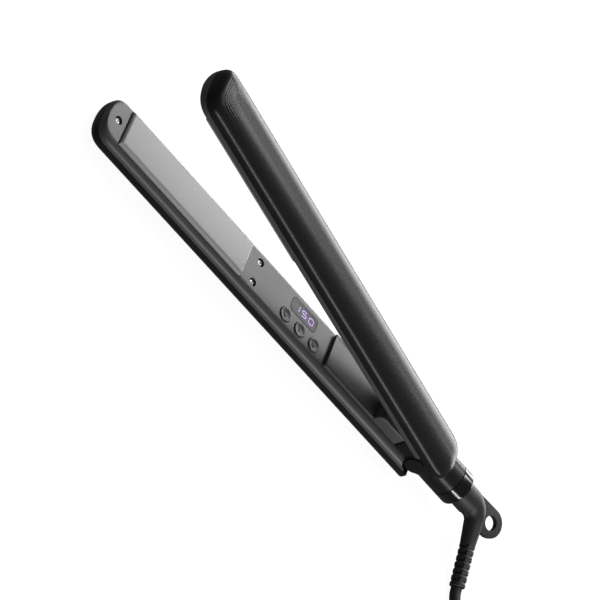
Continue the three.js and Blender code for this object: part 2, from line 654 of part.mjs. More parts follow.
function placeHinge(parent) {
  place(parent, "hinge_hub", hingeHub(), FINISHES.casing);
  place(parent, "hinge_cover", hingeCover(), FINISHES.cover);
  place(parent, "opening_spring", openingSpring(), FINISHES.steel);
  const pinEnd = KNUCKLE_HALF_WIDTH;
  place(parent, "hinge_pin", rod(PIN_RADIUS, "y", -pinEnd, pinEnd, [0, 0, 0], 20), FINISHES.steel);
  for (const [name, side] of [["left", 1], ["right", -1]]) {
    const faces = [pinEnd + FIT, pinEnd + FIT + PIVOT_CAP_THICKNESS].map((y) => y * side);
    const cap = rod(PIVOT_CAP_RADIUS, "y", Math.min(...faces), Math.max(...faces), [0, 0, 0], 28);
    place(parent, `${name}_pivot_cap`, cap, FINISHES.casing);
  }
  const ringProfile = [
    [BOOT_RADIUS + 0.5, RING_FRONT],
    [COLLAR_RADIUS, RING_FRONT],
    [COLLAR_RADIUS, RING_REAR - RING_EDGE],
  ];
  for (let k = 1; k <= 3; k++) {
    const angle = (k / 3) * (Math.PI / 2);
    ringProfile.push([
      COLLAR_RADIUS - RING_EDGE * (1 - Math.cos(angle)),
      RING_REAR - RING_EDGE * (1 - Math.sin(angle)),
    ]);
  }
  ringProfile.push([BOOT_RADIUS + 0.5, RING_REAR], ringProfile[0]);
  place(parent, "collar_ring", turned(ringProfile, "x", [0, 0, 0], 32), FINISHES.gloss);
  const bush = tube(COLLAR_BORE - SLIDE_GAP, SPINDLE_RADIUS + SLIDE_GAP, "x", BUSH_FRONT, RING_FRONT - 1);
  place(parent, "swivel_bush", bush, FINISHES.brass);
}

// ---------------------------------------------------------------- swivel boot
const SPINDLE_RADIUS = 3.4;
const SPINDLE_FRONT = COLLAR_BORE_START + 1;
const SPINDLE_FLANGE = 1.6;
const BUSH_FRONT = SPINDLE_FRONT + SPINDLE_FLANGE + FIT;
const BOOT_FRONT = RING_FRONT + 1.3;
const BEND_NORMAL = LEG_DIRECTION.clone().setX(0).normalize();
const BEND_AXIS = AXIS_X.clone().cross(BEND_NORMAL);
const BEND_ANGLE = AXIS_X.angleTo(LEG_DIRECTION);

function spindle() {
  return turned(
    [
      [0, SPINDLE_FRONT],
      [COLLAR_BORE - 1, SPINDLE_FRONT],
      [COLLAR_BORE - 1, SPINDLE_FRONT + SPINDLE_FLANGE],
      [SPINDLE_RADIUS, SPINDLE_FRONT + SPINDLE_FLANGE],
      [SPINDLE_RADIUS, BOOT_FRONT - FIT],
      [0, BOOT_FRONT - FIT],
    ],
    "x",
  );
}

// A round section of the boot, leaning into the bend by angle.
function bootRing(centre, angle, radius) {
  const across = AXIS_X.clone().multiplyScalar(-Math.sin(angle));
  across.addScaledVector(BEND_NORMAL, Math.cos(angle));
  const count = 18;
  return Array.from({ length: count }, (_, k) => {
    const turn = (k / count) * 2 * Math.PI;
    return centre
      .clone()
      .addScaledVector(across, radius * Math.cos(turn))
      .addScaledVector(BEND_AXIS, radius * Math.sin(turn));
  });
}

function swivelBoot() {
  const cornerReach = BOOT_BEND_RADIUS * Math.tan(BEND_ANGLE / 2);
  const bendStart = BOOT_ELBOW_X - cornerReach;
  const rings = [bootRing(new THREE.Vector3(BOOT_FRONT, 0, 0), 0, BOOT_RADIUS)];
  for (let k = 0; k <= 5; k++) {
    const share = k / 5;
    const angle = share * BEND_ANGLE;
    const centre = new THREE.Vector3(bendStart + BOOT_BEND_RADIUS * Math.sin(angle), 0, 0);
    centre.addScaledVector(BEND_NORMAL, BOOT_BEND_RADIUS * (1 - Math.cos(angle)));
    rings.push(bootRing(centre, angle, BOOT_RADIUS + share * (BOOT_BEND_END_RADIUS - BOOT_RADIUS)));
  }
  const onLeg = (distance) =>
    new THREE.Vector3(BOOT_ELBOW_X, 0, 0).addScaledVector(LEG_DIRECTION, distance);
  rings.push(bootRing(onLeg(BOOT_TAPER), BEND_ANGLE, BOOT_END_RADIUS));
  const pitch = (BOOT_LEG - BOOT_TAPER) / (BOOT_GROOVES + 0.5);
  for (let k = 0; k < BOOT_GROOVES; k++) {
    const start = BOOT_TAPER + (k + 0.5) * pitch;
    const low = BOOT_END_RADIUS - BOOT_GROOVE_DEPTH;
    rings.push(bootRing(onLeg(start), BEND_ANGLE, BOOT_END_RADIUS));
    rings.push(bootRing(onLeg(start + 0.2), BEND_ANGLE, low));
    rings.push(bootRing(onLeg(start + pitch / 2), BEND_ANGLE, low));
    rings.push(bootRing(onLeg(start + pitch / 2 + 0.2), BEND_ANGLE, BOOT_END_RADIUS));
  }
  rings.push(bootRing(onLeg(BOOT_LEG), BEND_ANGLE, BOOT_END_RADIUS));

  const tabOutline = new THREE.Shape();
  const rootHalf = BOOT_RADIUS - HANG_TAB_THICKNESS / 6;
  tabOutline.moveTo(bendStart, -rootHalf);
  tabOutline.absarc(HANG_HOLE_X, 0, HANG_TAB_RADIUS, -Math.PI / 2, Math.PI / 2);
  tabOutline.lineTo(bendStart, rootHalf);
  tabOutline.closePath();
  const half = HANG_TAB_THICKNESS / 2;
  const tab = prism(tabOutline, "z", -half, half, 7);
  const hole = rod(HANG_HOLE_RADIUS, "z", -8, 8, [HANG_HOLE_X, 0, 0], 20);
  const inBendPlane = new THREE.Matrix4().makeBasis(AXIS_X, BEND_NORMAL, BEND_AXIS);
  const turnedTab = tab.transform(inBendPlane.elements);
  return cut(joined(loft(rings), turnedTab), hole.transform(inBendPlane.elements));
}

function placeSwivel(parent) {
  place(parent, "swivel_boot", swivelBoot(), FINISHES.rubber);
  place(parent, "swivel_spindle", spindle(), FINISHES.brass);
}

// ---------------------------------------------------------------- mains lead
// The lead leaves the boot, comes down to the floor and curves round to the hank behind the iron.
const LEAD_POINTS = [
  [190.3, -41.95, 4.7],
  [191.55, -45.4, 3.85],
  [193.9, -50.0, 3.45],
  [196.1, -54.8, 3.4],
  [199.3, -60.4, 3.4],
  [204.1, -66.0, 3.4],
  [210.1, -70.5, 3.5],
  [216.9, -73.4, 3.7],
  [223.4, -74.2, 3.95],
  [228.4, -74.2, 4.1],
];
// From the hank's inner turn it climbs across the middle to the plug that lies on top.
const TAIL_POINTS = [
  [268, -61.2, 22.6],
  [276, -57.3, 25.6],
  [284, -54.2, 28.0],
  [290, -53.1, 28.7],
  [294.4, -53, 28.8],
];

function leadPiece(points, steps) {
  const path = new THREE.CatmullRomCurve3(points.map((point) => new THREE.Vector3(...point)));
  const section = new THREE.Shape().absarc(0, 0, CORD_RADIUS, 0, 2 * Math.PI);
  return toSolid(
    new THREE.ExtrudeGeometry(section, { steps, curveSegments: 5, extrudePath: path }),
  );
}

const stadium = (radius) =>
  roundedRectangle(...HANK_CENTRE, HANK_STRAIGHT / 2 + radius, radius, radius);

function hank() {
  const spare = CORD_RADIUS + SLIDE_GAP;
  const ring = stadium(HANK_OUTER_FOLD + spare);
  ring.holes.push(stadium(HANK_INNER_FOLD - spare));
  return prism(ring, "z", HANK_FLOOR_GAP, HANK_TOP, 5);
}

function hankTie() {
  const y = HANK_CENTRE[1] + (HANK_INNER_FOLD + HANK_OUTER_FOLD) / 2;
  const halfWidth = (HANK_OUTER_FOLD - HANK_INNER_FOLD) / 2 + CORD_RADIUS + SLIDE_GAP + FIT;
  const z = (HANK_FLOOR_GAP + HANK_TOP) / 2;
  const halfHeight = (HANK_TOP - HANK_FLOOR_GAP) / 2 + FIT;
  const strap = 0.9;
  const band = roundedRectangle(y, z, halfWidth + strap, halfHeight + strap, 2);
  band.holes.push(roundedRectangle(y, z, halfWidth, halfHeight, 1));
  return prism(band, "x", HANK_CENTRE[0] - 8, HANK_CENTRE[0] + 8, 2);
}

function placeLead(parent) {
  const plugZ = HANK_TOP + FIT + PLUG_THICKNESS / 2;
  const plugFront = PLUG_SLEEVE_START + PLUG_SLEEVE_LENGTH;
  const plugFace = plugFront + PLUG_LENGTH;
  place(parent, "cord_lead", leadPiece(LEAD_POINTS, 8), FINISHES.rubber);
  place(parent, "cord_hank", hank(), FINISHES.rubber);
  place(parent, "cord_tail", leadPiece(TAIL_POINTS, 4), FINISHES.rubber);
  place(parent, "hank_tie", hankTie(), FINISHES.fabric);
  const body = prism(
    roundedRectangle(PLUG_Y, plugZ, PLUG_HALF_WIDTH, PLUG_THICKNESS / 2, PLUG_THICKNESS / 2 - 1),
    "x",
    plugFront,
    plugFace,
  );
  const sleeve = turned(
    [
      [0, PLUG_SLEEVE_START],
      [CORD_RADIUS + 0.9, PLUG_SLEEVE_START],
      [CORD_RADIUS + 2.4, plugFront + 2],
      [0, plugFront + 2],
    ],
    "x",
    [0, PLUG_Y, plugZ],
    16,
  );
  place(parent, "plug_body", joined(body, sleeve), FINISHES.rubber);
  for (const [name, side] of [["left", 1], ["right", -1]]) {
    const centre = [0, PLUG_Y + side * PLUG_PIN_SPREAD, plugZ];
    const pin = rod(PLUG_PIN_RADIUS, "x", plugFace + FIT, plugFace + PLUG_PIN_LENGTH, centre, 16);
    place(parent, `plug_pin_${name}`, pin, FINISHES.steel);
  }
}

// ---------------------------------------------------------------- the two arms
const FLOOR_WINDOW = [BLOCK_FRONT - 0.7, HUB_BASE[1] + 0.5];

function lowerCover() {
  const holes = Object.values(BUTTON_X).map((x) =>
    rod(BUTTON_RADIUS + SLIDE_GAP, "z", faceZ(4), 2, [x, BUTTON_Y, 0], 24),
  );
  return cut(
    coverWithScrewSeats(LOWER_TAIL),
    ...holes,
    prism(displayOutline(SLIDE_GAP / 2), "z", faceZ(4), 2),
    slab(FLOOR_WINDOW, [-HUB_BASE_HALF_WIDTH - 0.6, HUB_BASE_HALF_WIDTH + 0.6], [-1, PARTING_DEPTH + 2]),
    rod(KNUCKLE_RADIUS + FIT, "y", -20, 20, [0, 0, 0], 32),
    box([-0.5, LOWER_TAIL + 1], [-20, 20], [faceZ(PARTING_DEPTH), 0]),
  );
}

const UPPER_WINDOW = [BLOCK_FRONT - 2, LUG_FRONT];
function upperCover() {
  const half = BLOCK_HALF_WIDTH + 0.7;
  const lugHalf = LUG_HALF_WIDTH + FIT;
  const capFront = -Math.max(PIVOT_CAP_RADIUS, KNUCKLE_RADIUS) - FIT;
  const beyond = ARM_HALF_WIDTH + 1;
  return cut(
    coverWithScrewSeats(UPPER_TAIL),
    slab(UPPER_WINDOW, [-half, half], [-1, PARTING_DEPTH + 2]),
    slab([LUG_FRONT - 2, capFront + 1], [-lugHalf, lugHalf], [-1, PARTING_DEPTH + 2]),
    slab([capFront, UPPER_TAIL + 1], [-beyond, beyond], [-1, PARTING_DEPTH + 2]),
  );
}

function upperShell() {
  return cut(shellWithPosts(UPPER_TAIL), ...hubSweeps());
}

place(lowerArm, "lower_shell", shellWithPosts(LOWER_TAIL), FINISHES.casing);
place(lowerArm, "lower_inner_cover", lowerCover(), FINISHES.cover);
placeScrews(lowerArm, "lower");
placePlateParts(lowerArm, "lower");
placeControls(lowerArm);
placeHinge(lowerArm);
placeSwivel(lowerArm);
placeLead(flatIron);

place(upperArmTurned, "upper_shell", upperShell(), FINISHES.casing);
place(upperArmTurned, "upper_inner_cover", upperCover(), FINISHES.cover);
placeScrews(upperArmTurned, "upper");
placePlateParts(upperArmTurned, "upper");
place(upperArmTurned, "hinge_bracket", hingeBracket(), FINISHES.steel);

export default flatIron;
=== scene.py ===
# Looks for the flat iron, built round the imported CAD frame. Lengths below are millimetres in each
# arm's own frame (origin on the hinge pin, z = 0 where the closed arms meet, depth measured away
# from that plane) and are turned into metres when a mesh is made.
import json
import math

import bmesh
import bpy
import numpy as np
from mathutils import Matrix, Vector


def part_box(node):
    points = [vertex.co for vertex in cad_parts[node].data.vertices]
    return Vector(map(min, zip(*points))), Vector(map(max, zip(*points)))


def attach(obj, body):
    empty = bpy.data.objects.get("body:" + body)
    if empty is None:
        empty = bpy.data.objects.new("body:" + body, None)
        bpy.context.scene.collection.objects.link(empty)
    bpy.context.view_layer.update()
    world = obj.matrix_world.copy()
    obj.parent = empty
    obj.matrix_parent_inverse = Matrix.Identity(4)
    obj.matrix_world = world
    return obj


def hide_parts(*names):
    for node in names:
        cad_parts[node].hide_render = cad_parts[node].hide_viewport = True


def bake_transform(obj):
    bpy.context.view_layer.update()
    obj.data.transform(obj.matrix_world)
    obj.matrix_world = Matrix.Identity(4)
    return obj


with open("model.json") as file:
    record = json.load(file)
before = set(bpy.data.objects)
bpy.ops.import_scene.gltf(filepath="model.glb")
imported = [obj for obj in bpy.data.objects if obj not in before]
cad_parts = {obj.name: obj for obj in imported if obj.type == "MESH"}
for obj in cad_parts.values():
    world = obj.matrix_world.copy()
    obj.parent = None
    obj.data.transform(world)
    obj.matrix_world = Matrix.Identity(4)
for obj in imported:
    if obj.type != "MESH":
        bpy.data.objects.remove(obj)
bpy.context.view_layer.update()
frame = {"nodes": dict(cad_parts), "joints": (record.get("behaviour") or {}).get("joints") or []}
JOINTS = {joint["name"]: joint for joint in frame["joints"]}

# -------- sizes read from the frame
MM = 0.001
PIVOT = Vector(JOINTS["arm_hinge"]["pos_m"]) / MM
OPENING = math.radians(-JOINTS["arm_hinge"]["range_deg"][0])


def node_span(node):
    """Lowest and highest corner of a lower-arm node, in the arm's frame."""
    low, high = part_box(node)
    return low / MM - PIVOT, high / MM - PIVOT


def middle(node):
    low, high = node_span(node)
    return (low + high) / 2


shell_low, shell_high = node_span("lower_shell")
plate_low, plate_high = node_span("lower_heating_plate")
window_low, window_high = node_span("display_window")
deck_low, deck_high = node_span("hinge_cover")
ring_low, ring_high = node_span("collar_ring")
cap_low, cap_high = node_span("right_pivot_cap")

# -------- arm sizes, as in the CAD part
HALF_WIDTH = shell_high.y
FACE_GAP = 2.4
ARM_DEPTH = PIVOT.z - FACE_GAP
PARTING = 5.3
SIDE_WALL = 7.2
CROWN_POWER = 2.15
CROWN_FLAT = 1.6
EDGE_RADIUS = 4.5
WALL = 1.8
TIP = shell_low.x
LOWER_TAIL = shell_high.x
UPPER_TAIL = 15.5
END_LENGTH = 12.5
END_POWER = 3.0
SLIDE_GAP = 0.2

# -------- camera
# Azimuth, elevation and roll of a long lens that looks down on the iron from its left front.
CAMERA_AZIMUTH = math.radians(-34.71)
CAMERA_ELEVATION = math.radians(37.54)
CAMERA_DISTANCE = 2.0428
CAMERA_LENS = 225.1
CAMERA_UP_TILT = math.radians(70.74)
AIM_FROM_PIVOT = Vector((-120.9, 2.1, 5.44))


def add_camera():
    flat = math.cos(CAMERA_ELEVATION)
    back = Vector((math.sin(CAMERA_AZIMUTH) * flat, -math.cos(CAMERA_AZIMUTH) * flat, 0))
    back.z = math.sin(CAMERA_ELEVATION)
    level = Vector((math.cos(CAMERA_AZIMUTH), math.sin(CAMERA_AZIMUTH), 0))
    above = back.cross(level)
    right = level * math.cos(CAMERA_UP_TILT) + above * math.sin(CAMERA_UP_TILT)
    up = back.cross(right)
    data = bpy.data.cameras.new("camera")
    data.lens = CAMERA_LENS
    data.sensor_width = 36
    data.clip_end = 20
    camera = bpy.data.objects.new("camera", data)
    turn = Matrix((right, up, back)).transposed().to_4x4()
    place = (PIVOT + AIM_FROM_PIVOT) * MM + back * CAMERA_DISTANCE
    camera.matrix_world = Matrix.Translation(place) @ turn
    bpy.context.scene.collection.objects.link(camera)
    bpy.context.scene.camera = camera


add_camera()


# -------- mesh helpers
def face_z(depth):
    return -FACE_GAP - depth


def lower_place(point):
    """From the lower arm's frame to metres."""
    return (Vector(point) + PIVOT) * MM


def swung(x, y, z, angle):
    """A point turned about the pin, the way that the upper arm opens."""
    return x * math.cos(angle) + z * math.sin(angle), y, z * math.cos(angle) - x * math.sin(angle)


def upper_place(point):
    """From the upper arm's frame, which is turned over and opened, to metres."""
    return (Vector(swung(point[0], -point[1], -point[2], OPENING)) + PIVOT) * MM


def mesh_object(name, points, faces, place=lower_place):
    mesh = bpy.data.meshes.new(name)
    mesh.from_pydata([place(point) for point in points], [], faces)
    mesh.update()
    piece = bpy.data.objects.new(name, mesh)
    bpy.context.scene.collection.objects.link(piece)
    faces_outward(piece)
    return piece


def faces_outward(piece):
    work = bmesh.new()
    work.from_mesh(piece.data)
    bmesh.ops.remove_doubles(work, verts=work.verts, dist=1e-7)
    bmesh.ops.recalc_face_normals(work, faces=work.faces)
    work.to_mesh(piece.data)
    work.free()


def band(ring, after, count):
    """Faces that join one ring of points to another."""
    faces = []
    for k in range(count):
        beside = (k + 1) % count
        faces.append((ring * count + k, ring * count + beside, after * count + beside, after * count + k))
    return faces


def loft(name, rings, place=lower_place):
    """Rings of points with equal counts, skinned one to the next and capped at both ends."""
    count = len(rings[0])
    points = [point for ring in rings for point in ring]
    faces = []
    for r in range(len(rings) - 1):
        faces += band(r, r + 1, count)
    faces.append(tuple(range(count - 1, -1, -1)))
    last = (len(rings) - 1) * count
    faces.append(tuple(range(last, last + count)))
    return mesh_object(name, points, faces, place)


def closed_loop(name, rings, place=lower_place):
    """Rings whose last joins its first, such as a tube's outside and inside."""
    count = len(rings[0])
    points = [point for ring in rings for point in ring]
    faces = []
    for r in range(len(rings)):
        faces += band(r, (r + 1) % len(rings), count)
    return mesh_object(name, points, faces, place)


def circle(centre, across, beside, radius, count):
    """Points round a centre, in the plane of two directions."""
    ring = []
    for k in range(count):
        angle = 2 * math.pi * k / count
        ring.append(centre + across * radius * math.cos(angle) + beside * radius * math.sin(angle))
    return ring


def quarter(steps, first=0):
    """Cosines and sines at even steps through a quarter turn."""
    angles = [k / steps * math.pi / 2 for k in range(first, steps + 1)]
    return [(math.cos(angle), math.sin(angle)) for angle in angles]


AXES = {
    "x": (Vector((0, 1, 0)), Vector((0, 0, 1)), Vector((1, 0, 0))),
    "y": (Vector((0, 0, 1)), Vector((1, 0, 0)), Vector((0, 1, 0))),
    "z": (Vector((1, 0, 0)), Vector((0, 1, 0)), Vector((0, 0, 1))),
}


def turned_rings(profile, axis, centre=(0, 0, 0), count=64):
    """One ring of points for each [radius, distance along the axis] of a profile."""
    across, beside, along = AXES[axis]
    rings = []
    for radius, distance in profile:
        ring = []
        for k in range(count):
            angle = 2 * math.pi * k / count
            spoke = across * math.cos(angle) + beside * math.sin(angle)
            ring.append(Vector(centre) + along * distance + spoke * radius)
        rings.append(ring)
    return rings


def turned(name, profile, axis, centre=(0, 0, 0), count=64, place=lower_place):
    return loft(name, turned_rings(profile, axis, centre, count), place)


def drawn_out(name, outline, axis, start, end, place=lower_place):
    """A flat outline drawn along an axis: (y, z) for x, (x, z) for y and (x, y) for z."""
    rings = []
    for along in (start, end):
        if axis == "x":
            rings.append([(along, a, b) for a, b in outline])
        elif axis == "y":
            rings.append([(a, along, b) for a, b in outline])
        else:
            rings.append([(a, b, along) for a, b in outline])
    return loft(name, rings, place)


def block(name, xs, ys, zs, place=lower_place):
    outline = [(xs[0], ys[0]), (xs[1], ys[0]), (xs[1], ys[1]), (xs[0], ys[1])]
    return drawn_out(name, outline, "z", zs[0], zs[1], place)


def rounded(x, y, half_length, half_width, corner, steps=8):
    """A rectangle's outline with round corners."""
    corners = ((1, 1, 0), (-1, 1, 1), (-1, -1, 2), (1, -1, 3))
    outline = []
    for side_x, side_y, quarter in corners:
        for k in range(steps + 1):
            angle = (quarter + k / steps) * math.pi / 2
            along = x + side_x * (half_length - corner) + corner * math.cos(angle)
            across = y + side_y * (half_width - corner) + corner * math.sin(angle)
            outline.append((along, across))
    return outline


def applied(piece):
    """Replaces a piece's mesh by what its modifiers make of it."""
    graph = bpy.context.evaluated_depsgraph_get()
    mesh = bpy.data.meshes.new_from_object(piece.evaluated_get(graph))
    piece.modifiers.clear()
    old = piece.data
    piece.data = mesh
    bpy.data.meshes.remove(old)
    return piece


def combined(piece, tools, operation="DIFFERENCE"):
    """Cuts the tools out of a piece, or joins them to it, and removes them."""
    for tool in tools:
        cutter = piece.modifiers.new("combine", "BOOLEAN")
        cutter.operation = operation
        cutter.solver = "EXACT"
        cutter.object = tool
    applied(piece)
    for tool in tools:
        bpy.data.objects.remove(tool)
    return piece


def bevelled(piece, width, segments=2, angle=35):
    edge = piece.modifiers.new("edges", "BEVEL")
    edge.width = width * MM
    edge.segments = segments
    edge.limit_method = "ANGLE"
    edge.angle_limit = math.radians(angle)
    edge.use_clamp_overlap = True
    return applied(piece)


def smooth(piece, angle=32):
    mesh = piece.data
    mesh.polygons.foreach_set("use_smooth", [True] * len(mesh.polygons))
    mesh.set_sharp_from_angle(angle=math.radians(angle))
    mesh.update()
    return piece


# -------- materials
def material(name, color, roughness, metallic=0.0, specular=0.5):
    made = bpy.data.materials.new(name)
    made.use_nodes = True
    shader = made.node_tree.nodes["Principled BSDF"]
    shader.inputs["Base Color"].default_value = (*color, 1)
    shader.inputs["Roughness"].default_value = roughness
    shader.inputs["Metallic"].default_value = metallic
    shader.inputs["Specular IOR Level"].default_value = specular
    return made


def lit(made, color, strength):
    """Makes a material give off light."""
    shader = made.node_tree.nodes["Principled BSDF"]
    shader.inputs["Emission Color"].default_value = (*color, 1)
    shader.inputs["Emission Strength"].default_value = strength


def noise(made, scale, detail=2.0, stretch=(1, 1, 1)):
    """A noise texture in object space, in cells per metre."""
    nodes, links = made.node_tree.nodes, made.node_tree.links
    place = nodes.new("ShaderNodeTexCoord")
    mapping = nodes.new("ShaderNodeMapping")
    mapping.inputs["Scale"].default_value = stretch
    texture = nodes.new("ShaderNodeTexNoise")
    texture.inputs["Scale"].default_value = scale
    texture.inputs["Detail"].default_value = detail
    links.new(place.outputs["Object"], mapping.inputs["Vector"])
    links.new(mapping.outputs["Vector"], texture.inputs["Vector"])
    return texture


def vary_color(made, texture, low, high, low_at=0.35, high_at=0.65):
    nodes, links = made.node_tree.nodes, made.node_tree.links
    ramp = nodes.new("ShaderNodeValToRGB")
    for element, place, color in zip(ramp.color_ramp.elements, (low_at, high_at), (low, high)):
        element.position = place
        element.color = (*color, 1)
    links.new(texture.outputs["Fac"], ramp.inputs["Fac"])
    links.new(ramp.outputs["Color"], nodes["Principled BSDF"].inputs["Base Color"])


def vary_roughness(made, texture, low, high):
    nodes, links = made.node_tree.nodes, made.node_tree.links
    spread = nodes.new("ShaderNodeMapRange")
    spread.inputs["To Min"].default_value = low
    spread.inputs["To Max"].default_value = high
    links.new(texture.outputs["Fac"], spread.inputs["Value"])
    links.new(spread.outputs["Result"], nodes["Principled BSDF"].inputs["Roughness"])


def add_bump(made, texture, height, strength=0.5):
    """Surface relief from a texture, height in metres."""
    nodes, links = made.node_tree.nodes, made.node_tree.links
    bump = nodes.new("ShaderNodeBump")
    bump.inputs["Distance"].default_value = height
    bump.inputs["Strength"].default_value = strength
    links.new(texture.outputs["Fac"], bump.inputs["Height"])
    links.new(bump.outputs["Normal"], nodes["Principled BSDF"].inputs["Normal"])


def grey(value):
    return (value, value, value * 1.02)


def moulded_plastic(name, shade, roughness, specular, grain=2600):
    """Satin plastic with a spark-eroded grain and faint cloudiness."""
    made = material(name, grey(shade), roughness, specular=specular)
    vary_color(made, noise(made, 60, 4), grey(shade * 0.94), grey(shade * 1.06))
    fine = noise(made, grain, 2)
    vary_roughness(made, fine, roughness - 0.04, roughness + 0.05)
    add_bump(made, fine, 0.00002, 0.35)
    return made


def metal(name, color, roughness, stretch=(1, 1, 1)):
    made = material(name, color, roughness, metallic=1.0)
    brushed = noise(made, 900, 3, stretch)
    vary_roughness(made, brushed, roughness * 0.75, roughness * 1.35)
    add_bump(made, brushed, 0.00001, 0.25)
    return made


def ceramic_coating():
    """Grey ceramic with tiny bright flecks."""
    made = material("ceramic_coating", grey(0.37), 0.42, specular=0.4)
    flecks = noise(made, 5200, 1)
    vary_color(made, flecks, grey(0.33), grey(0.43), 0.38, 0.68)
    vary_roughness(made, noise(made, 1400, 2), 0.36, 0.48)
    add_bump(made, flecks, 0.000012, 0.3)
    return made


def woven_tape():
    made = material("woven_tape", grey(0.014), 0.9, specular=0.2)
    threads = noise(made, 2400, 2, (1, 3, 3))
    vary_color(made, threads, grey(0.008), grey(0.022))
    add_bump(made, threads, 0.0002, 0.8)
    return made


def glow():
    made = material("digit_glow", (0.55, 0.33, 1.0), 0.4)
    lit(made, (0.50, 0.30, 1.0), 0.5)
    spots = noise(made, 900, 1)
    vary_color(made, spots, (0.50, 0.30, 0.95), (0.62, 0.40, 1.0))
    return made


CASING = moulded_plastic("casing_satin", 0.013, 0.27, 0.18)
COVER = moulded_plastic("cover_satin", 0.08, 0.40, 0.42)
BUTTON = moulded_plastic("button_satin", 0.075, 0.38, 0.4)
INNER = moulded_plastic("inner_black", 0.03, 0.6, 0.4, 1800)
RUBBER = moulded_plastic("moulded_rubber", 0.018, 0.5, 0.4, 3400)
CORD_RUBBER = moulded_plastic("cord_rubber", 0.015, 0.52, 0.35, 3000)
GLOSS = moulded_plastic("polished_black", 0.004, 0.12, 0.6, 300)
WINDOW = moulded_plastic("smoked_window", 0.03, 0.30, 0.22, 500)
PLATE = ceramic_coating()
CHROME = metal("plated_steel", (0.42, 0.42, 0.43), 0.3)
STEEL = metal("plain_steel", (0.5, 0.5, 0.5), 0.32, (1, 1, 6))
BRASS = metal("plain_brass", (0.75, 0.55, 0.25), 0.28)
HEATER = metal("heater_film", (0.6, 0.42, 0.22), 0.45, (8, 1, 1))
BOARD = moulded_plastic("board_lacquer", 0.05, 0.4, 0.5, 900)
vary_color(BOARD, noise(BOARD, 500, 2), (0.012, 0.10, 0.04), (0.03, 0.17, 0.07))
TAPE = woven_tape()
GLOW = glow()


def finish(piece, made, body=None, stands_for=()):
    """Gives a piece its material, body and the CAD nodes it stands for."""
    piece.data.materials.clear()
    piece.data.materials.append(made)
    if body:
        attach(piece, body)
    if stands_for:
        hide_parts(*stands_for)
    return piece


# -------- arm casings
def power_arc(angle, power):
    """Cosine and sine of a superellipse's angle."""
    return math.cos(angle) ** (2 / power), math.sin(angle) ** (2 / power)


def end_stations(end, direction, inset, count=22):
    """Places along a rounded end: x, and the share of the full width there."""
    stations = []
    for k in range(count):
        angle = math.radians(1.5) + (math.pi / 2 - math.radians(1.5)) * (k / (count - 1)) ** 1.1
        back, share = power_arc(min(angle, math.pi / 2 - 1e-6), END_POWER)
        stations.append((end + direction * (END_LENGTH - (END_LENGTH - inset) * back), share))
    return stations


def arm_stations(tail, round_tail, inset, extra=()):
    start = end_stations(TIP, 1, inset)
    for x in extra:
        back = (TIP + END_LENGTH - x) / (END_LENGTH - inset)
        if 0 < back < 1:
            start.append((x, (1 - back**END_POWER) ** (1 / END_POWER)))
    start.sort()
    between = np.linspace(TIP + END_LENGTH, tail - END_LENGTH, 24)[1:-1]
    straight = [(x, 1.0) for x in sorted([*between, *extra]) if x > TIP + END_LENGTH]
    if round_tail:
        return start + straight + list(reversed(end_stations(tail, -1, inset)))
    return start + straight + [(tail - inset, 1.0)]


CROWN_STRIP_STEPS = 14  # along the flat strip on the crown


def crown_ring(x, share, half_width, crown, top, steps=22):
    """Section of the outer shell: side walls up to the parting line and a crowned back."""
    width = half_width * share
    flat = CROWN_FLAT * share
    height = (crown - SIDE_WALL) * share**0.8
    half = [(width, top), (width, (top + SIDE_WALL) / 2)]
    for k in range(steps + 1):
        across, down = power_arc(k / steps * math.pi / 2 * 0.99999, CROWN_POWER)
        half.append((flat + (width - flat) * across, SIDE_WALL + height * down))
    across_strip = [flat * (1 - 2 * k / CROWN_STRIP_STEPS) for k in range(1, CROWN_STRIP_STEPS)]
    top_strip = [(y, half[-1][1]) for y in across_strip]
    both = half + top_strip + [(-y, depth) for y, depth in reversed(half)]
    return [(x, y, face_z(depth)) for y, depth in both]


def cover_ring(x, share, half_width, top, bottom, edge, steps=10):
    """Section of the inner cover: a flat face with round edges."""
    width = half_width * share
    fillet = min(edge, 0.9 * width)
    half = [(width, bottom)]
    for cosine, sine in quarter(steps):
        half.append((width - fillet * (1 - cosine), top + edge * (1 - sine)))
    both = half + [(-y, depth) for y, depth in reversed(half)]
    return [(x, y, face_z(depth)) for y, depth in both]


RIM_STEP = 0.35 * 0.3  # how far the cover's outline stands in from the shell's


def arm_shell(name, tail, round_tail, place, extra=(), steps=22):
    outside = [
        crown_ring(x, share, HALF_WIDTH, ARM_DEPTH, PARTING, steps)
        for x, share in arm_stations(tail, round_tail, 0, extra)
    ]
    inside = [
        crown_ring(x, share, HALF_WIDTH - WALL, ARM_DEPTH - WALL, PARTING - 1)
        for x, share in arm_stations(tail, round_tail, WALL)
    ]
    shell = loft(name, outside, place)
    return combined(shell, [loft("hollow", inside, place)])


def arm_cover(name, tail, round_tail, place):
    outside = [
        cover_ring(x, share, HALF_WIDTH - RIM_STEP, 0, PARTING - SLIDE_GAP, EDGE_RADIUS)
        for x, share in arm_stations(tail, round_tail, RIM_STEP)
    ]
    inside = [
        cover_ring(x, share, HALF_WIDTH - WALL, WALL, PARTING + 1, EDGE_RADIUS - WALL)
        for x, share in arm_stations(tail, round_tail, WALL)
    ]
    cover = loft(name, outside, place)
    return combined(cover, [loft("hollow", inside, place)])


# -------- screws
REAR_SCREW_X = plate_high.x + 10
REAR_SCREW_SPREAD = 7.5
SCREW_PLACES = (
    ("tip_screw", TIP + 7.5, 0),
    ("rear_screw_left", REAR_SCREW_X, REAR_SCREW_SPREAD),
    ("rear_screw_right", REAR_SCREW_X, -REAR_SCREW_SPREAD),
)
SCREW_LENGTH = 8.5
HEAD_RADIUS = 2.1
HEAD_TOP = 0.75
HEAD_DOME = 0.75  # height of the head's domed part


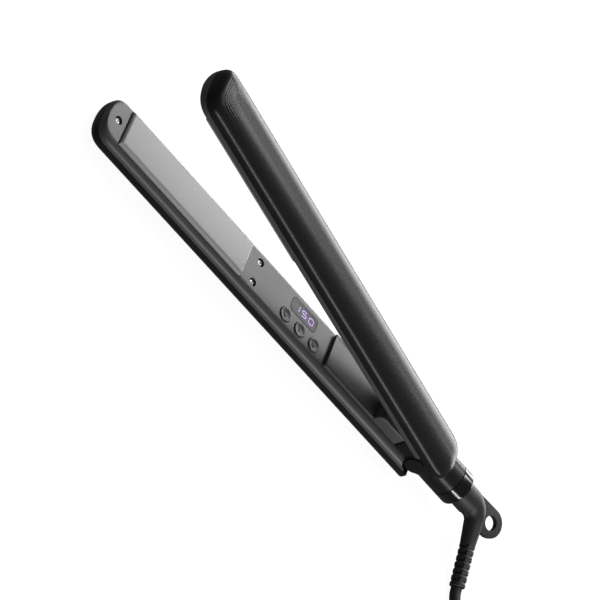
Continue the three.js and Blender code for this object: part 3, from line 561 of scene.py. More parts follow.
def screw(name, x, y, place):
    """A domed head with a cross recess and chamfered rim on a plain shank."""
    top = face_z(HEAD_TOP)
    profile = [(0.05, top - SCREW_LENGTH), (1.0, top - SCREW_LENGTH + 0.5), (1.1, top - 1.6)]
    profile.append((HEAD_RADIUS - 0.1, top - 1.5))
    for cosine, sine in quarter(6):
        profile.append((max(HEAD_RADIUS * cosine, 0.02), top - HEAD_DOME + HEAD_DOME * sine))
    head = turned(name, profile, "z", (x, y, 0), 40, place)
    recess = []
    for k, (long, wide) in enumerate(((1.25, 0.3), (0.3, 1.25))):
        arm = block(f"recess_{k}", (x - long, x + long), (y - wide, y + wide), (top - 0.9, top + 1), place)
        recess.append(arm)
    return smooth(combined(head, recess), 28)


# -------- heating plates
PLATE_HALF = (plate_high.y - plate_low.y) / 2
PLATE_MIDDLE = (plate_low.x + plate_high.x) / 2
PLATE_REACH = (plate_high.x - plate_low.x) / 2
PLATE_RISE = 2.2
PLATE_EDGE = 2.1
PLATE_GAP = 0.8
PLATE_END_EDGE = 1.6
PLATE_UNDERSIDE = 0.3  # depth of its underside between the skirts
PLATE_SKIRT = 3.2  # depth of the skirts' lower edges


def heating_plate(name, place):
    """A flat-topped plate whose long edges roll over into skirts, with a small edge at its ends."""
    top = face_z(-PLATE_RISE)
    flat = PLATE_HALF - PLATE_EDGE
    half = [(flat, face_z(PLATE_UNDERSIDE)), (flat, face_z(PLATE_SKIRT)), (PLATE_HALF, face_z(PLATE_SKIRT))]
    for cosine, sine in quarter(8):
        half.append((flat + PLATE_EDGE * cosine, top - PLATE_EDGE + PLATE_EDGE * sine))
    section = [(-y, z) for y, z in half] + half[::-1]
    rings = []
    for inset in (0, 0.08, 0.3, 0.65, 1.1, PLATE_END_EDGE):
        drop = PLATE_END_EDGE - math.sqrt(max(PLATE_END_EDGE**2 - (PLATE_END_EDGE - inset) ** 2, 0))
        rings.append((PLATE_MIDDLE - PLATE_REACH + inset, drop))
    rings += [(2 * PLATE_MIDDLE - x, drop) for x, drop in reversed(rings)]
    lofted = [[(x, y, min(z, top - drop)) for y, z in section] for x, drop in rings]
    return smooth(loft(name, lofted, place), 30)


# -------- controls
KEYS = ("plus", "minus", "power")
BUTTON_RADIUS = 4.25
BUTTON_PROUD = 0.8
BUTTON_LIP = 0.45  # radius of the round edge
BUTTON_FLANGE = BUTTON_RADIUS + 0.75
FLANGE_DEPTHS = (2.1, 2.7)
STEM_DEPTH = 4.2
STEM_RADIUS = 1.2


def button_centre(key):
    spot = middle(f"{key}_button")
    return spot.x, spot.y


def button(key):
    """A dished round button with a raised lip and its sign standing in the dish."""
    x, y = button_centre(key)
    top = face_z(-BUTTON_PROUD)
    profile = [
        (0.05, face_z(STEM_DEPTH)),
        (STEM_RADIUS, face_z(STEM_DEPTH)),
        (STEM_RADIUS, face_z(FLANGE_DEPTHS[1])),
        (BUTTON_FLANGE, face_z(FLANGE_DEPTHS[1])),
        (BUTTON_FLANGE, face_z(FLANGE_DEPTHS[0])),
        (BUTTON_RADIUS, face_z(FLANGE_DEPTHS[0])),
        (BUTTON_RADIUS, top - BUTTON_LIP),
    ]
    for cosine, sine in quarter(6, 1):
        profile.append((BUTTON_RADIUS - BUTTON_LIP * (1 - cosine), top - BUTTON_LIP * (1 - sine)))
    dish = BUTTON_RADIUS - 0.55
    for k in range(1, 13):
        radius = dish * (1 - k / 12)
        bowl = 0.75 * (1 - (radius / dish) ** 2)
        profile.append((max(radius, 0.03), top - bowl))
    body = smooth(turned(f"{key}_key_cap", profile, "z", (x, y, 0), 72), 40)
    low = top - 0.85
    high = top - 0.32
    long, wide = 1.35, 0.22
    signs = []
    if key in ("plus", "minus"):
        signs.append(block("sign_bar", (x - wide, x + wide), (y - long, y + long), (low, high)))
    if key == "plus":
        signs.append(block("sign_cross", (x - long, x + long), (y - wide, y + wide), (low, high)))
    if key == "power":
        rings = turned_rings(((0.95, low), (1.4, low), (1.4, high), (0.95, high)), "z", (x, y, 0), 40)
        signs.append(closed_loop("sign_ring", rings))
        signs.append(block("sign_bar", (x - wide, x + wide), (y - 0.2, y + 1.7), (low, high)))
    return smooth(combined(body, signs, "UNION"), 40)


DISPLAY = middle("display_window")
DISPLAY_HALF = ((window_high.x - window_low.x) / 2, (window_high.y - window_low.y) / 2)
DISPLAY_CORNER = 2.9


def display_window():
    """The smoked pane with a soft edge."""
    rings = []
    half_long, half_wide = DISPLAY_HALF
    for inset, depth in ((0.05, WALL), (0.05, 0.02), (0.15, -0.08), (0.35, -0.12)):
        sizes = (half_long - inset, half_wide - inset, DISPLAY_CORNER - inset)
        outline = rounded(DISPLAY.x, DISPLAY.y, *sizes, 10)
        rings.append([(x, y, face_z(depth)) for x, y in outline])
    return smooth(loft("display_pane", rings), 30)


# Segments of a digit: place across and up in digit widths and heights, and which way they lie.
SEGMENTS = {
    "top": ((0.5, 1.0), "flat"),
    "middle": ((0.5, 0.5), "flat"),
    "bottom": ((0.5, 0.0), "flat"),
    "top_left": ((0.0, 0.75), "upright"),
    "top_right": ((1.0, 0.75), "upright"),
    "bottom_left": ((0.0, 0.25), "upright"),
    "bottom_right": ((1.0, 0.25), "upright"),
}
DIGITS = {
    "one": ("top_right", "bottom_right"),
    "five": ("top", "top_left", "middle", "bottom_right", "bottom"),
    "nought": ("top", "top_left", "top_right", "bottom_left", "bottom_right", "bottom"),
}
DIGIT_WIDTH = 3.5
DIGIT_HEIGHT = 3.8
DIGIT_PITCH = 6.1
SEGMENT_WIDTH = 0.6


def segment_outline(direction, length):
    """A bar with pointed ends, about its own centre."""
    half, thick = length / 2, SEGMENT_WIDTH / 2
    bar = [(-half, 0), (-half + thick, -thick), (half - thick, -thick)]
    bar += [(half, 0), (half - thick, thick), (-half + thick, thick)]
    return bar if direction == "flat" else [(-y, x) for x, y in bar]


def display_digits():
    """The lit number, read from the side with the buttons."""
    points, faces = [], []
    first = DISPLAY.x - DIGIT_WIDTH / 2 - DIGIT_PITCH
    base = DISPLAY.y - DIGIT_HEIGHT / 2
    for place, digit in enumerate(("one", "five", "nought")):
        for segment in DIGITS[digit]:
            (across, up), direction = SEGMENTS[segment]
            length = (DIGIT_WIDTH if direction == "flat" else DIGIT_HEIGHT / 2) - 0.28
            centre_x = first + place * DIGIT_PITCH + across * DIGIT_WIDTH
            centre_y = base + up * DIGIT_HEIGHT
            outline = segment_outline(direction, length)
            start = len(points)
            count = len(outline)
            for depth in (-0.14, -0.17):
                points += [(centre_x + x, centre_y + y, face_z(depth)) for x, y in outline]
            faces.append(tuple(range(start, start + count)))
            faces.append(tuple(range(start + count, start + 2 * count)))
            faces += band(start // count, start // count + 1, count)
    return mesh_object("display_digits", points, faces)


# -------- covers and shells
def cover_cuts(place):
    """Plate slot and screw recesses, which both covers have."""
    slot = rounded(PLATE_MIDDLE, 0, PLATE_REACH + PLATE_GAP, PLATE_HALF + PLATE_GAP, 1.1, 5)
    cuts = [drawn_out("slot", slot, "z", face_z(PARTING + 2), face_z(-1), place)]
    for name, x, y in SCREW_PLACES:
        seat = [(0.05, face_z(2.2)), (HEAD_RADIUS + 0.25, face_z(2.2)), (HEAD_RADIUS + 0.25, face_z(0.25))]
        seat += [(HEAD_RADIUS + 0.5, face_z(0)), (HEAD_RADIUS + 0.5, face_z(-1)), (0.05, face_z(-1))]
        cuts.append(turned(f"seat_{name}", seat, "z", (x, y, 0), 40, place))
    return cuts


KNUCKLE_RADIUS = 6.7
KNUCKLE_HALF = 13.2
HUB_BASE = (-32, -2)  # from the pin, front and rear
HUB_BASE_HALF = 10.4
COLLAR_RADIUS = ring_high.y
COLLAR_FRONT = 13.9
RING_FRONT = ring_low.x
RING_REAR = ring_high.x
LUG_FRONT = -17.3
LUG_HALF = 12.7
BLOCK_FRONT = -39.4
BLOCK_REAR = deck_high.x
BLOCK_HALF = 12.4
BLOCK_TOP = deck_high.z
DECK_FRONT = deck_low.x
DECK_HALF = 12.0
DECK_TOP = -FACE_GAP + 2.5
DECK_BOTTOM = deck_low.z


def hub_ring(x, half_width, half_height, power, count=72):
    ring = []
    for k in range(count):
        angle = (k + 0.5) / count * 2 * math.pi
        across, up = math.cos(angle), math.sin(angle)
        y = half_width * math.copysign(abs(across) ** (2 / power), across)
        z = half_height * math.copysign(abs(up) ** (2 / power), up)
        ring.append((x, y, z))
    return ring


def hub_sweeps():
    """Room for the hub's neck and collar in the upper arm, at four openings."""
    spare = 0.45
    sweeps = []
    for step in range(4):
        angle = OPENING * step / 3
        rings = []
        for ring in (
            hub_ring(-1, KNUCKLE_HALF + spare, KNUCKLE_RADIUS + spare, 8),
            hub_ring(COLLAR_FRONT, COLLAR_RADIUS + spare, COLLAR_RADIUS + spare, 2),
            hub_ring(RING_FRONT, COLLAR_RADIUS + spare, COLLAR_RADIUS + spare, 2),
        ):
            rings.append([swung(*point, angle) for point in ring])
        sweeps.append(loft(f"sweep_{step}", rings, upper_place))
    return sweeps


def lower_cover():
    cover = arm_cover("lower_face_cover", LOWER_TAIL, False, lower_place)
    cuts = cover_cuts(lower_place)
    for key in KEYS:
        x, y = button_centre(key)
        hole = [(BUTTON_RADIUS + 0.22, face_z(4)), (BUTTON_RADIUS + 0.22, face_z(0.12))]
        hole += [(BUTTON_RADIUS + 0.38, face_z(0)), (BUTTON_RADIUS + 0.38, 2)]
        cuts.append(turned(f"hole_{key}", hole, "z", (x, y, 0), 64))
    pane = rounded(DISPLAY.x, DISPLAY.y, DISPLAY_HALF[0] + 0.1, DISPLAY_HALF[1] + 0.1, DISPLAY_CORNER, 10)
    cuts.append(drawn_out("pane_hole", pane, "z", face_z(4), 2))
    floor = HUB_BASE_HALF + 0.6
    depths = (face_z(PARTING + 2), face_z(-1))
    cuts.append(block("floor", (BLOCK_FRONT - 0.7, -1.5), (-floor, floor), depths))
    knuckle = ((KNUCKLE_RADIUS + 0.3, -20), (KNUCKLE_RADIUS + 0.3, 20))
    cuts.append(turned("knuckle_room", knuckle, "y", (0, 0, 0), 72))
    cuts.append(block("tail_room", (-0.5, LOWER_TAIL + 1), (-20, 20), (face_z(PARTING), 0)))
    return smooth(combined(cover, cuts), 30)


def upper_cover():
    cover = arm_cover("upper_face_cover", UPPER_TAIL, True, upper_place)
    cuts = cover_cuts(upper_place)
    depths = (face_z(PARTING + 2), face_z(-1))
    front = -KNUCKLE_RADIUS - 0.3
    rooms = (
        ("block_room", BLOCK_FRONT - 2, LUG_FRONT - 1, BLOCK_HALF + 0.7),
        ("lug_room", LUG_FRONT - 2, front + 1, LUG_HALF + 0.3),
        ("disc_room", front, UPPER_TAIL + 1, HALF_WIDTH + 1),
    )
    for name, start, end, half in rooms:
        cuts.append(block(name, (start, end), (-half, half), depths, upper_place))
    return smooth(combined(cover, cuts), 30)


# Crescent grip grooves pressed into the upper arm's crown, following the tip's outline.
GROOVES = 6
GROOVE_PITCH = 1.35
GROOVE_START = 3.4
GROOVE_DEPTH = 0.13
GROOVE_REGION = 24  # how far back from the tip they reach
GROOVE_STATIONS = 100  # sections cut through that stretch
GROOVE_STEPS = 60  # points up one side of a section


def outline_inset(x, y):
    """How far in from the tip's outline a point lies, along a line to the arch's centre."""
    back = max(TIP + END_LENGTH - x, 0)
    level = ((back / END_LENGTH) ** END_POWER + (abs(y) / HALF_WIDTH) ** END_POWER) ** (1 / END_POWER)
    return (1 - level) * (END_LENGTH + HALF_WIDTH) / 2


def grooved(shell):
    """Presses the grooves in; they run out towards the arm's straight sides."""
    for vertex in shell.data.vertices:
        flat = vertex.co / MM - PIVOT
        x = flat.x * math.cos(OPENING) - flat.z * math.sin(OPENING)
        height = flat.x * math.sin(OPENING) + flat.z * math.cos(OPENING) - FACE_GAP
        wave = (outline_inset(x, flat.y) - GROOVE_START) / GROOVE_PITCH
        if x > TIP + GROOVE_REGION or height < SIDE_WALL or not 0 <= wave <= GROOVES:
            continue
        fade = min(1, (TIP + GROOVE_REGION - x) / 12) * min(1, (height - SIDE_WALL) / 2)
        depth = 0.5 * (1 - math.cos(2 * math.pi * wave)) * fade * GROOVE_DEPTH
        vertex.co -= vertex.normal * depth * MM
    return shell


def upper_shell():
    fine = [TIP + GROOVE_REGION * k / GROOVE_STATIONS for k in range(1, GROOVE_STATIONS)]
    shell = arm_shell("upper_back_shell", UPPER_TAIL, True, upper_place, fine, GROOVE_STEPS)
    return smooth(grooved(combined(shell, hub_sweeps())), 30)


def lower_shell():
    return smooth(arm_shell("lower_back_shell", LOWER_TAIL, False, lower_place), 30)


# -------- hinge
PIN_RADIUS = 2.5
FORK_HALF = 8.5
FORK_DEPTH = 7.1
COLLAR_BORE = 6.0


def hinge_hub():
    """Knuckle, cheeks and the neck that runs out into the round collar."""
    edge = 0.5
    rim = [(KNUCKLE_RADIUS, KNUCKLE_HALF - edge)]
    rim.append((KNUCKLE_RADIUS - edge * 0.3, KNUCKLE_HALF - edge * 0.3))
    rim.append((KNUCKLE_RADIUS - edge, KNUCKLE_HALF))
    profile = [(radius, -y) for radius, y in reversed(rim)] + rim
    knuckle = turned("hinge_knuckle", profile, "y", (0, 0, 0), 96)
    lug = block("lug", (LUG_FRONT, 0), (-LUG_HALF, LUG_HALF), (DECK_BOTTOM, BLOCK_TOP))
    lug = bevelled(lug, 0.6, 3)
    base_width = (-HUB_BASE_HALF, HUB_BASE_HALF)
    base = block("base", HUB_BASE, base_width, (face_z(9.6), face_z(0.1)))
    stem = block("stem", (LUG_FRONT + 0.7, HUB_BASE[1]), base_width, (-4, 0))
    rings = []
    steps = 16
    for k in range(steps + 1):
        share = k / steps
        ease = share * share * (3 - 2 * share)
        x = COLLAR_FRONT * share
        width = KNUCKLE_HALF - 0.02 + (COLLAR_RADIUS - KNUCKLE_HALF) * ease
        height = KNUCKLE_RADIUS - 0.02 + (COLLAR_RADIUS - KNUCKLE_RADIUS) * ease
        rings.append(hub_ring(x, width, height, 2 + 6 * (1 - ease) ** 2))
    rings.append(hub_ring(RING_FRONT - 0.55, COLLAR_RADIUS, COLLAR_RADIUS, 2))
    rings.append(hub_ring(RING_FRONT - 0.3, COLLAR_RADIUS - 0.25, COLLAR_RADIUS - 0.25, 2))
    neck = loft("neck", rings)
    hub = combined(knuckle, [lug, base, stem, neck], "UNION")
    fork = block("fork", (-7.5, 8), (-FORK_HALF, FORK_HALF), (-FORK_DEPTH, 12))
    bore = turned("bore", ((COLLAR_BORE, 7), (COLLAR_BORE, RING_FRONT + 1)), "x", (0, 0, 0), 48)
    pin = turned("pin_room", ((PIN_RADIUS + 0.3, -20), (PIN_RADIUS + 0.3, 20)), "y", (0, 0, 0), 48)
    return smooth(combined(hub, [fork, bore, pin]), 30)


def hinge_cover():
    """Deck and raised block with rounded edges, a double trim line and the spring's pocket."""
    nose = 4.0
    side = [(BLOCK_REAR, DECK_BOTTOM), (BLOCK_REAR, BLOCK_TOP)]
    for k in range(13):
        angle = math.pi / 2 * (1 + k / 12)
        x = BLOCK_FRONT + nose + nose * math.cos(angle)
        side.append((x, BLOCK_TOP - nose + nose * math.sin(angle)))
    side.append((BLOCK_FRONT, DECK_BOTTOM))
    raised = bevelled(drawn_out("raised_block", side, "y", -BLOCK_HALF, BLOCK_HALF), 0.9, 4, 50)
    deck = block("deck", (DECK_FRONT, BLOCK_REAR), (-DECK_HALF, DECK_HALF), (DECK_BOTTOM, DECK_TOP))
    cover = combined(bevelled(deck, 0.35, 3, 50), [raised], "UNION")
    pocket = turned("pocket", ((4.45, -9), (4.45, 9)), "z", (middle("opening_spring").x, 0, 0), 48)
    trims = []
    trim_heights = (DECK_TOP - 0.18, DECK_TOP + 1)
    for side_sign in (-1, 1):
        for inset in (1.3, 2.1):
            xs = (DECK_FRONT + inset, BLOCK_FRONT - 0.5)
            ys = sorted((side_sign * (DECK_HALF - inset), side_sign * (DECK_HALF - inset - 0.22)))
            trims.append(block(f"trim_{side_sign}_{inset}", xs, ys, trim_heights))
    cover.name = "deck_and_block"
    return smooth(combined(cover, [pocket] + trims), 30)


def pivot_cap(name, side):
    """A flat disc in a shallow round seat."""
    radius = cap_high.z - (cap_high.z + cap_low.z) / 2
    inner, outer = KNUCKLE_HALF + 0.3, KNUCKLE_HALF + 1.1
    profile = [(0.05, inner), (radius - 0.1, inner), (radius, inner + 0.1), (radius, outer - 0.3)]
    profile += [(radius - 0.1, outer - 0.08), (radius - 0.35, outer), (0.05, outer - 0.12)]
    return smooth(turned(name, [(r, side * y) for r, y in profile], "y", (0, 0, 0), 80), 40)


def collar_ring():
    """The polished band, with a quarter-round rear edge."""
    edge = 2.0
    bore = 8.7
    profile = [(bore, RING_FRONT), (COLLAR_RADIUS - 0.2, RING_FRONT), (COLLAR_RADIUS, RING_FRONT + 0.2)]
    profile.append((COLLAR_RADIUS, RING_REAR - edge))
    for cosine, sine in quarter(8, 1):
        profile.append((COLLAR_RADIUS - edge * (1 - cosine), RING_REAR - edge * (1 - sine)))
    profile.append((bore, RING_REAR))
    rings = turned_rings(profile, "x", (0, 0, 0), 96)
    return smooth(closed_loop("polished_ring", rings), 35)


# -------- swivel boot
BOOT_RADIUS = 8.2
BOOT_BEND_END_RADIUS = 5.7
BOOT_ELBOW = 53.9
BOOT_BEND = 10
BOOT_LEG = 46.3
BOOT_TAPER = 21
BOOT_END_RADIUS = 4.6
LEG = Vector((0.343, -0.896, -0.27)).normalized()
HOLE_X = 66.2
HOLE_RADIUS = 4.4
TAB_RADIUS = 8.8
TAB_THICKNESS = 3.2
X_AXIS = Vector((1, 0, 0))
BEND_NORMAL = Vector((0, LEG.y, LEG.z)).normalized()
BEND_AXIS = X_AXIS.cross(BEND_NORMAL)
BEND_ANGLE = X_AXIS.angle(LEG)
CORNER_REACH = BOOT_BEND * math.tan(BEND_ANGLE / 2)
RIBS = 6
WINDOW_TURN = math.radians(62)  # from the boot's upper side towards its inner side
RIB_PITCH = (BOOT_LEG - BOOT_TAPER) / (RIBS + 0.5)


def boot_ring(centre, angle, radius, count=48):
    across = BEND_NORMAL * math.cos(angle) - X_AXIS * math.sin(angle)
    return circle(centre, across, BEND_AXIS, radius, count)


def on_leg(distance):
    return X_AXIS * BOOT_ELBOW + LEG * distance


def boot_window(index):
    """One L-shaped opening of the strain relief, in the side turned away from the loop."""
    start = BOOT_TAPER + (index + 0.5) * RIB_PITCH
    across = (BEND_NORMAL * math.cos(BEND_ANGLE) - X_AXIS * math.sin(BEND_ANGLE)).normalized()
    out = -BEND_AXIS * math.cos(WINDOW_TURN) + across * math.sin(WINDOW_TURN)
    beside = LEG.cross(out)
    foot = ((start - 0.1, start + 1.0), (-2.3, 1.9))
    upright = ((start - 1.5, start), (-2.3, -1.1))
    cuts = []
    for spans in (foot, upright):
        rings = []
        for along in spans[0]:
            corners = ((spans[1][0], 3.3), (spans[1][1], 3.3), (spans[1][1], 7), (spans[1][0], 7))
            rings.append([on_leg(along) + beside * side + out * deep for side, deep in corners])
        cuts.append(loft(f"window_{index}_{len(cuts)}", rings))
    return cuts


def swivel_boot():
    """Round sleeve, elbow, tapering leg with ribs and windows, and the hanging loop."""
    bend_start = BOOT_ELBOW - CORNER_REACH
    front = RING_FRONT + 1.3
    rings = [boot_ring(Vector((front, 0, 0)), 0, BOOT_RADIUS)]
    for k in range(15):
        angle = k / 14 * BEND_ANGLE
        centre = Vector((bend_start + BOOT_BEND * math.sin(angle), 0, 0))
        centre += BEND_NORMAL * BOOT_BEND * (1 - math.cos(angle))
        radius = BOOT_RADIUS + (BOOT_BEND_END_RADIUS - BOOT_RADIUS) * k / 14
        rings.append(boot_ring(centre, angle, radius))
    for k in range(1, 11):
        share = k / 10
        distance = CORNER_REACH + (BOOT_TAPER - CORNER_REACH) * share
        radius = BOOT_BEND_END_RADIUS + (BOOT_END_RADIUS - BOOT_BEND_END_RADIUS) * share
        rings.append(boot_ring(on_leg(distance), BEND_ANGLE, radius))
    for index in range(RIBS):
        start = BOOT_TAPER + (index + 0.5) * RIB_PITCH
        for along, drop in ((0, 0), (0.2, 0.35), (0.4, 0.5), (0.5, 0.5), (0.7, 0.35), (0.9, 0)):
            centre = on_leg(start + along * RIB_PITCH * 0.55)
            rings.append(boot_ring(centre, BEND_ANGLE, BOOT_END_RADIUS - drop))
    rings.append(boot_ring(on_leg(BOOT_LEG - 0.4), BEND_ANGLE, BOOT_END_RADIUS))
    rings.append(boot_ring(on_leg(BOOT_LEG), BEND_ANGLE, BOOT_END_RADIUS - 0.4))
    boot = loft("cord_boot", rings)

    outline = [(bend_start, BOOT_RADIUS)]
    for k in range(33):
        angle = math.pi / 2 - k / 32 * math.pi
        outline.append((HOLE_X + TAB_RADIUS * math.cos(angle), TAB_RADIUS * math.sin(angle)))
    outline.append((bend_start, -BOOT_RADIUS))
    half = TAB_THICKNESS / 2
    tab_rings = []
    for beside in (-half, half):
        tab_rings.append([X_AXIS * x + BEND_NORMAL * y + BEND_AXIS * beside for x, y in outline])
    tab = bevelled(loft("tab", tab_rings), 0.35, 3, 50)
    hole_rings = []
    for beside in (-8, 8):
        centre = X_AXIS * HOLE_X + BEND_AXIS * beside
        hole_rings.append(circle(centre, X_AXIS, BEND_NORMAL, HOLE_RADIUS, 48))
    boot = combined(boot, [tab], "UNION")
    cuts = [loft("hole", hole_rings)]
    for index in range(RIBS):
        cuts += boot_window(index)
    return smooth(combined(boot, cuts), 34)


# -------- mains lead
# The lead, its tie and its plug are placed in the object's own frame, in millimetres.
CORD_RADIUS = 3.3
TURN_PITCH = 6.7
HANK_CENTRE = Vector((280, -47, 0))
HANK_HALF = 63.5 / 2
INNER_FOLD = 20.5
OUTER_FOLD = INNER_FOLD + TURN_PITCH
LAYER_HEIGHTS = [4.6 + layer * TURN_PITCH for layer in range(3)]
LEAD_POINTS = (
    (190.3, -41.95, 4.7),
    (191.55, -45.4, 3.85),
    (193.9, -50.0, 3.45),
    (196.1, -54.8, 3.4),
    (199.3, -60.4, 3.4),
    (204.1, -66.0, 3.4),
    (210.1, -70.5, 3.5),
    (216.9, -73.4, 3.7),
    (223.4, -74.2, 3.95),
    (228.4, -74.2, 4.1),
)
TAIL_POINTS = (
    (268, -61.2, 22.6),
    (276, -57.3, 25.6),
    (284, -54.2, 28.0),
    (290, -53.1, 28.7),
    (295.5, -53, 28.8),
)


def world_place(point):
    return Vector(point) * MM


def half_turn_points(radius, height, next_radius, next_height, end):
    """One straight run and fold of the hank, changing column and layer along the straight."""
    points = []
    runs = 5
    side = -1 if end > 0 else 1
    for k in range(runs):
        share = k / runs
        ease = share * share * (3 - 2 * share)
        x = end * (-HANK_HALF + 2 * HANK_HALF * share)
        reach = radius + (next_radius - radius) * ease
        points.append(HANK_CENTRE + Vector((x, side * reach, height + (next_height - height) * ease)))
    for k in range(9):
        angle = math.pi * k / 9
        x = end * (HANK_HALF + next_radius * math.sin(angle))
        points.append(HANK_CENTRE + Vector((x, side * next_radius * math.cos(angle), next_height)))
    return points


def lead_route():
    """The whole lead: boot, floor, the hank's turns from the outside in, and up to the plug."""
    columns = []
    for layer, height in enumerate(LAYER_HEIGHTS):
        radii = (OUTER_FOLD, INNER_FOLD) if layer % 2 == 0 else (INNER_FOLD, OUTER_FOLD)
        columns += [(radius, height) for radius in radii]
    points = [Vector(point) for point in LEAD_POINTS]
    here = columns[0]
    for index, column in enumerate(columns):
        after = columns[index + 1] if index + 1 < len(columns) else column
        points += half_turn_points(*here, *column, 1)[(2 if index == 0 else 0):]
        points += half_turn_points(*column, *after, -1)
        here = after
    radius, height = here
    start = HANK_CENTRE + Vector((-HANK_HALF, -radius, height))
    points += [start, start + Vector((9, 0.4, 0.6)), start + Vector((17, 3.0, 3.0))]
    return points + [Vector(point) for point in TAIL_POINTS]


def smooth_path(points, steps=6):
    """Points on a centripetal Catmull-Rom curve through the given ones."""
    ends = [points[0] * 2 - points[1]] + list(points) + [points[-1] * 2 - points[-2]]
    path = []
    for k in range(1, len(ends) - 2):
        p0, p1, p2, p3 = ends[k - 1 : k + 3]
        t1 = (p1 - p0).length ** 0.5
        t2 = t1 + (p2 - p1).length ** 0.5
        t3 = t2 + (p3 - p2).length ** 0.5
        for step in range(steps):
            t = t1 + (t2 - t1) * step / steps
            a1 = p0 * ((t1 - t) / t1) + p1 * (t / t1)
            a2 = p1 * ((t2 - t) / (t2 - t1)) + p2 * ((t - t1) / (t2 - t1))
            a3 = p2 * ((t3 - t) / (t3 - t2)) + p3 * ((t - t2) / (t3 - t2))
            b1 = a1 * ((t2 - t) / t2) + a2 * (t / t2)
            b2 = a2 * ((t3 - t) / (t3 - t1)) + a3 * ((t - t1) / (t3 - t1))
            path.append(b1 * ((t2 - t) / (t2 - t1)) + b2 * ((t - t1) / (t2 - t1)))
    return path + [points[-1].copy()]


def tube_along(name, path, radius, count=16):
    """A round tube along a path, with its section carried along without twist."""
    tangents = []
    for k in range(len(path)):
        tangents.append((path[min(k + 1, len(path) - 1)] - path[max(k - 1, 0)]).normalized())
    across = tangents[0].orthogonal().normalized()
    rings = []
    for spot, tangent in zip(path, tangents):
        across = (across - tangent * across.dot(tangent)).normalized()
        rings.append(circle(spot, across, tangent.cross(across), radius, count))
    return smooth(loft(name, rings, world_place), 60)


def hank_tie():
    """A tape wound round one side of the hank."""
    y = HANK_CENTRE.y + (INNER_FOLD + OUTER_FOLD) / 2
    z = (LAYER_HEIGHTS[0] + LAYER_HEIGHTS[-1]) / 2
    half_wide = TURN_PITCH / 2 + CORD_RADIUS + 0.45
    half_high = (LAYER_HEIGHTS[-1] - LAYER_HEIGHTS[0]) / 2 + CORD_RADIUS + 0.45
    rings = []
    for x, spare in ((-8, 0.1), (-7.6, 0.65), (7.6, 0.65), (8, 0.1), (8, 0.0), (-8, 0.0)):
        outline = rounded(y, z, half_wide + spare, half_high + spare, CORD_RADIUS + 0.4, 8)
        rings.append([(HANK_CENTRE.x + x, a, b) for a, b in outline])
    return smooth(closed_loop("cord_tie", rings, world_place), 40)


def plug():
    """A flat two-pin plug body with grip ridges and a tapered sleeve."""
    low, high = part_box("plug_body")
    low, high = low / MM, high / MM
    centre_y, centre_z = (low.y + high.y) / 2, (low.z + high.z) / 2
    half_wide, half_high = (high.y - low.y) / 2, (high.z - low.z) / 2
    sleeve_end = low.x + 16
    rings = []
    length = high.x - sleeve_end
    for k in range(25):
        share = k / 24
        shoulder = math.sin(min(share / 0.22, 1) * math.pi / 2) ** 0.6 if share < 0.22 else 1.0
        edge = 1 - max(0, share - 0.97) * 3
        ridge = 0.25 * max(0, math.sin((share - 0.3) * 45)) if 0.3 < share < 0.62 else 0
        wide = (6 + (half_wide - 6) * shoulder) * edge - ridge
        tall = (5.2 + (half_high - 5.2) * shoulder) * edge - ridge
        x = sleeve_end + length * share
        outline = rounded(centre_y, centre_z, wide, tall, min(tall - 0.3, 5.8), 8)
        rings.append([(x, a, b) for a, b in outline])
    body = loft("plug_moulding", rings, world_place)
    profile = []
    for k in range(33):
        share = k / 32
        radius = CORD_RADIUS + 0.9 + 1.6 * share
        if 0.12 < share < 0.88 and (k % 4) < 2:
            radius -= 0.5
        profile.append((radius, low.x + 17 * share))
    sleeve = turned("sleeve", profile, "x", (0, centre_y, centre_z), 40, world_place)
    return smooth(combined(body, [sleeve], "UNION"), 34)


def plug_pin(node):
    """A round brass pin with a domed end."""
    low, high = (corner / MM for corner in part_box(node))
    radius = (high.y - low.y) / 2
    centre = (0, (low.y + high.y) / 2, (low.z + high.z) / 2)
    profile = [(radius, low.x)]
    for cosine, sine in quarter(7):
        profile.append((max(radius * cosine, 0.03), high.x - radius + radius * sine))
    return smooth(turned(f"{node}_round", profile, "x", centre, 40, world_place), 40)


# -------- making everything
def dress_arms():
    finish(lower_shell(), CASING, "lower_arm", ["lower_shell"])
    finish(upper_shell(), CASING, "upper_arm", ["upper_shell"])
    finish(lower_cover(), COVER, "lower_arm", ["lower_inner_cover"])
    finish(upper_cover(), COVER, "upper_arm", ["upper_inner_cover"])
    for prefix, place in (("lower", lower_place), ("upper", upper_place)):
        for name, x, y in SCREW_PLACES:
            head = screw(f"{prefix}_{name}_cross", x, y, place)
            finish(head, CHROME, f"{prefix}_arm", [f"{prefix}_{name}"])
        plate = heating_plate(f"{prefix}_ceramic_plate", place)
        finish(plate, PLATE, f"{prefix}_plate", [f"{prefix}_heating_plate"])


def dress_controls():
    for key in KEYS:
        finish(button(key), BUTTON, f"{key}_key", [f"{key}_button"])
    finish(display_window(), WINDOW, "lower_arm", ["display_window"])
    finish(display_digits(), GLOW, "lower_arm")


def dress_hinge():
    finish(hinge_hub(), CASING, "lower_arm", ["hinge_hub"])
    finish(hinge_cover(), COVER, "lower_arm", ["hinge_cover"])
    for name, side in (("left", 1), ("right", -1)):
        cap = pivot_cap(f"{name}_pivot_disc", side)
        finish(cap, CASING, "lower_arm", [f"{name}_pivot_cap"])
    finish(collar_ring(), GLOSS, "lower_arm", ["collar_ring"])
    finish(swivel_boot(), RUBBER, "cord_swivel", ["swivel_boot"])


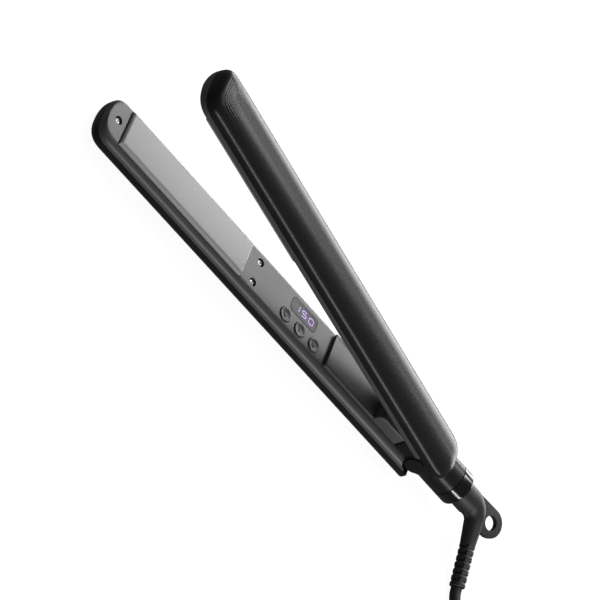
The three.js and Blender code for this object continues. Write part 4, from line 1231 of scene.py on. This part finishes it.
def dress_lead():
    path = smooth_path(lead_route())
    lead = tube_along("mains_lead", path, CORD_RADIUS)
    finish(lead, CORD_RUBBER, None, ["cord_lead", "cord_hank", "cord_tail"])
    tie = finish(hank_tie(), TAPE, "lower_arm", ["hank_tie"])
    body = finish(plug(), RUBBER, "lower_arm", ["plug_body"])
    for node in ("plug_pin_left", "plug_pin_right"):
        finish(plug_pin(node), BRASS, "lower_arm", [node])
    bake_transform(lead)


# Materials of the CAD pieces that stay, by a word in their names; a later match wins.
PLAIN_NODES = {
    "plate_carrier": INNER,
    "heater_element": HEATER,
    "pressure_clip": STEEL,
    "thermistor": BRASS,
    "thermal_fuse": BRASS,
    "spring": STEEL,
    "switch": INNER,
    "display_module": INNER,
    "control_board": BOARD,
    "wiring_loom": CORD_RUBBER,
    "hinge_pin": STEEL,
    "hinge_bracket": STEEL,
    "swivel_bush": BRASS,
    "swivel_spindle": BRASS,
}


def dress_plain_nodes():
    """Gives the CAD pieces that stay, which are inside the arms, their materials."""
    for node, piece in frame["nodes"].items():
        for word, made in PLAIN_NODES.items():
            if word in node:
                piece.data.materials.clear()
                piece.data.materials.append(made)


# -------- floor and light
ROOM_RADIUS = 6.0
ROOM_HEIGHT = 5.0
ROOM_GLOW = 0.94


def add_room():
    """A pale round floor with a pale wall and ceiling, which throw no light back on the iron."""
    room = bpy.data.objects.new("pale_room", bpy.data.meshes.new("pale_room"))
    work = bmesh.new()
    bmesh.ops.create_cone(
        work, cap_ends=True, segments=64, radius1=ROOM_RADIUS, radius2=ROOM_RADIUS, depth=ROOM_HEIGHT
    )
    bmesh.ops.translate(work, verts=work.verts, vec=(0, 0, ROOM_HEIGHT / 2))
    work.to_mesh(room.data)
    work.free()
    bpy.context.scene.collection.objects.link(room)
    made = material("pale_floor", (0.2, 0.2, 0.2), 0.9, specular=0.0)
    vary_color(made, noise(made, 3, 2), (0.19, 0.19, 0.19), (0.21, 0.21, 0.21))
    lit(made, (1, 1, 1), ROOM_GLOW)
    room.data.materials.append(made)
    room.visible_diffuse = False
    room.visible_glossy = False
    room.visible_transmission = False
    room.visible_shadow = False


def area_light(name, direction, distance, size, power):
    """A soft box at a direction and distance from the iron, turned towards it."""
    target = (PIVOT + Vector((-120, 0, 10))) * MM
    data = bpy.data.lights.new(name, "AREA")
    data.shape = "RECTANGLE"
    data.size, data.size_y = size
    data.energy = power
    light = bpy.data.objects.new(name, data)
    toward = Vector(direction).normalized()
    light.location = target + toward * distance
    light.rotation_euler = toward.to_track_quat("Z", "Y").to_euler()
    light.visible_camera = False
    bpy.context.scene.collection.objects.link(light)


def add_lights():
    area_light("key", (0.335, 0.66, 0.67), 1.5, (1.0, 0.6), 13.5)
    area_light("top", (0.15, 0.3, 1.0), 1.5, (1.3, 1.0), 9)
    area_light("low_back", (0.57, 0.81, 0.04), 1.5, (1.6, 0.65), 16)
    area_light("side_strip", (0.56, -0.8, 0.14), 1.3, (1.4, 0.18), 11)
    world = bpy.data.worlds.new("studio")
    world.use_nodes = True
    world.node_tree.nodes["Background"].inputs["Color"].default_value = (1, 1, 1, 1)
    world.node_tree.nodes["Background"].inputs["Strength"].default_value = 0.12
    bpy.context.scene.world = world
    bpy.context.scene.view_settings.view_transform = "Standard"


dress_lead()
dress_arms()
dress_controls()
dress_hinge()
dress_plain_nodes()
add_room()
add_lights()
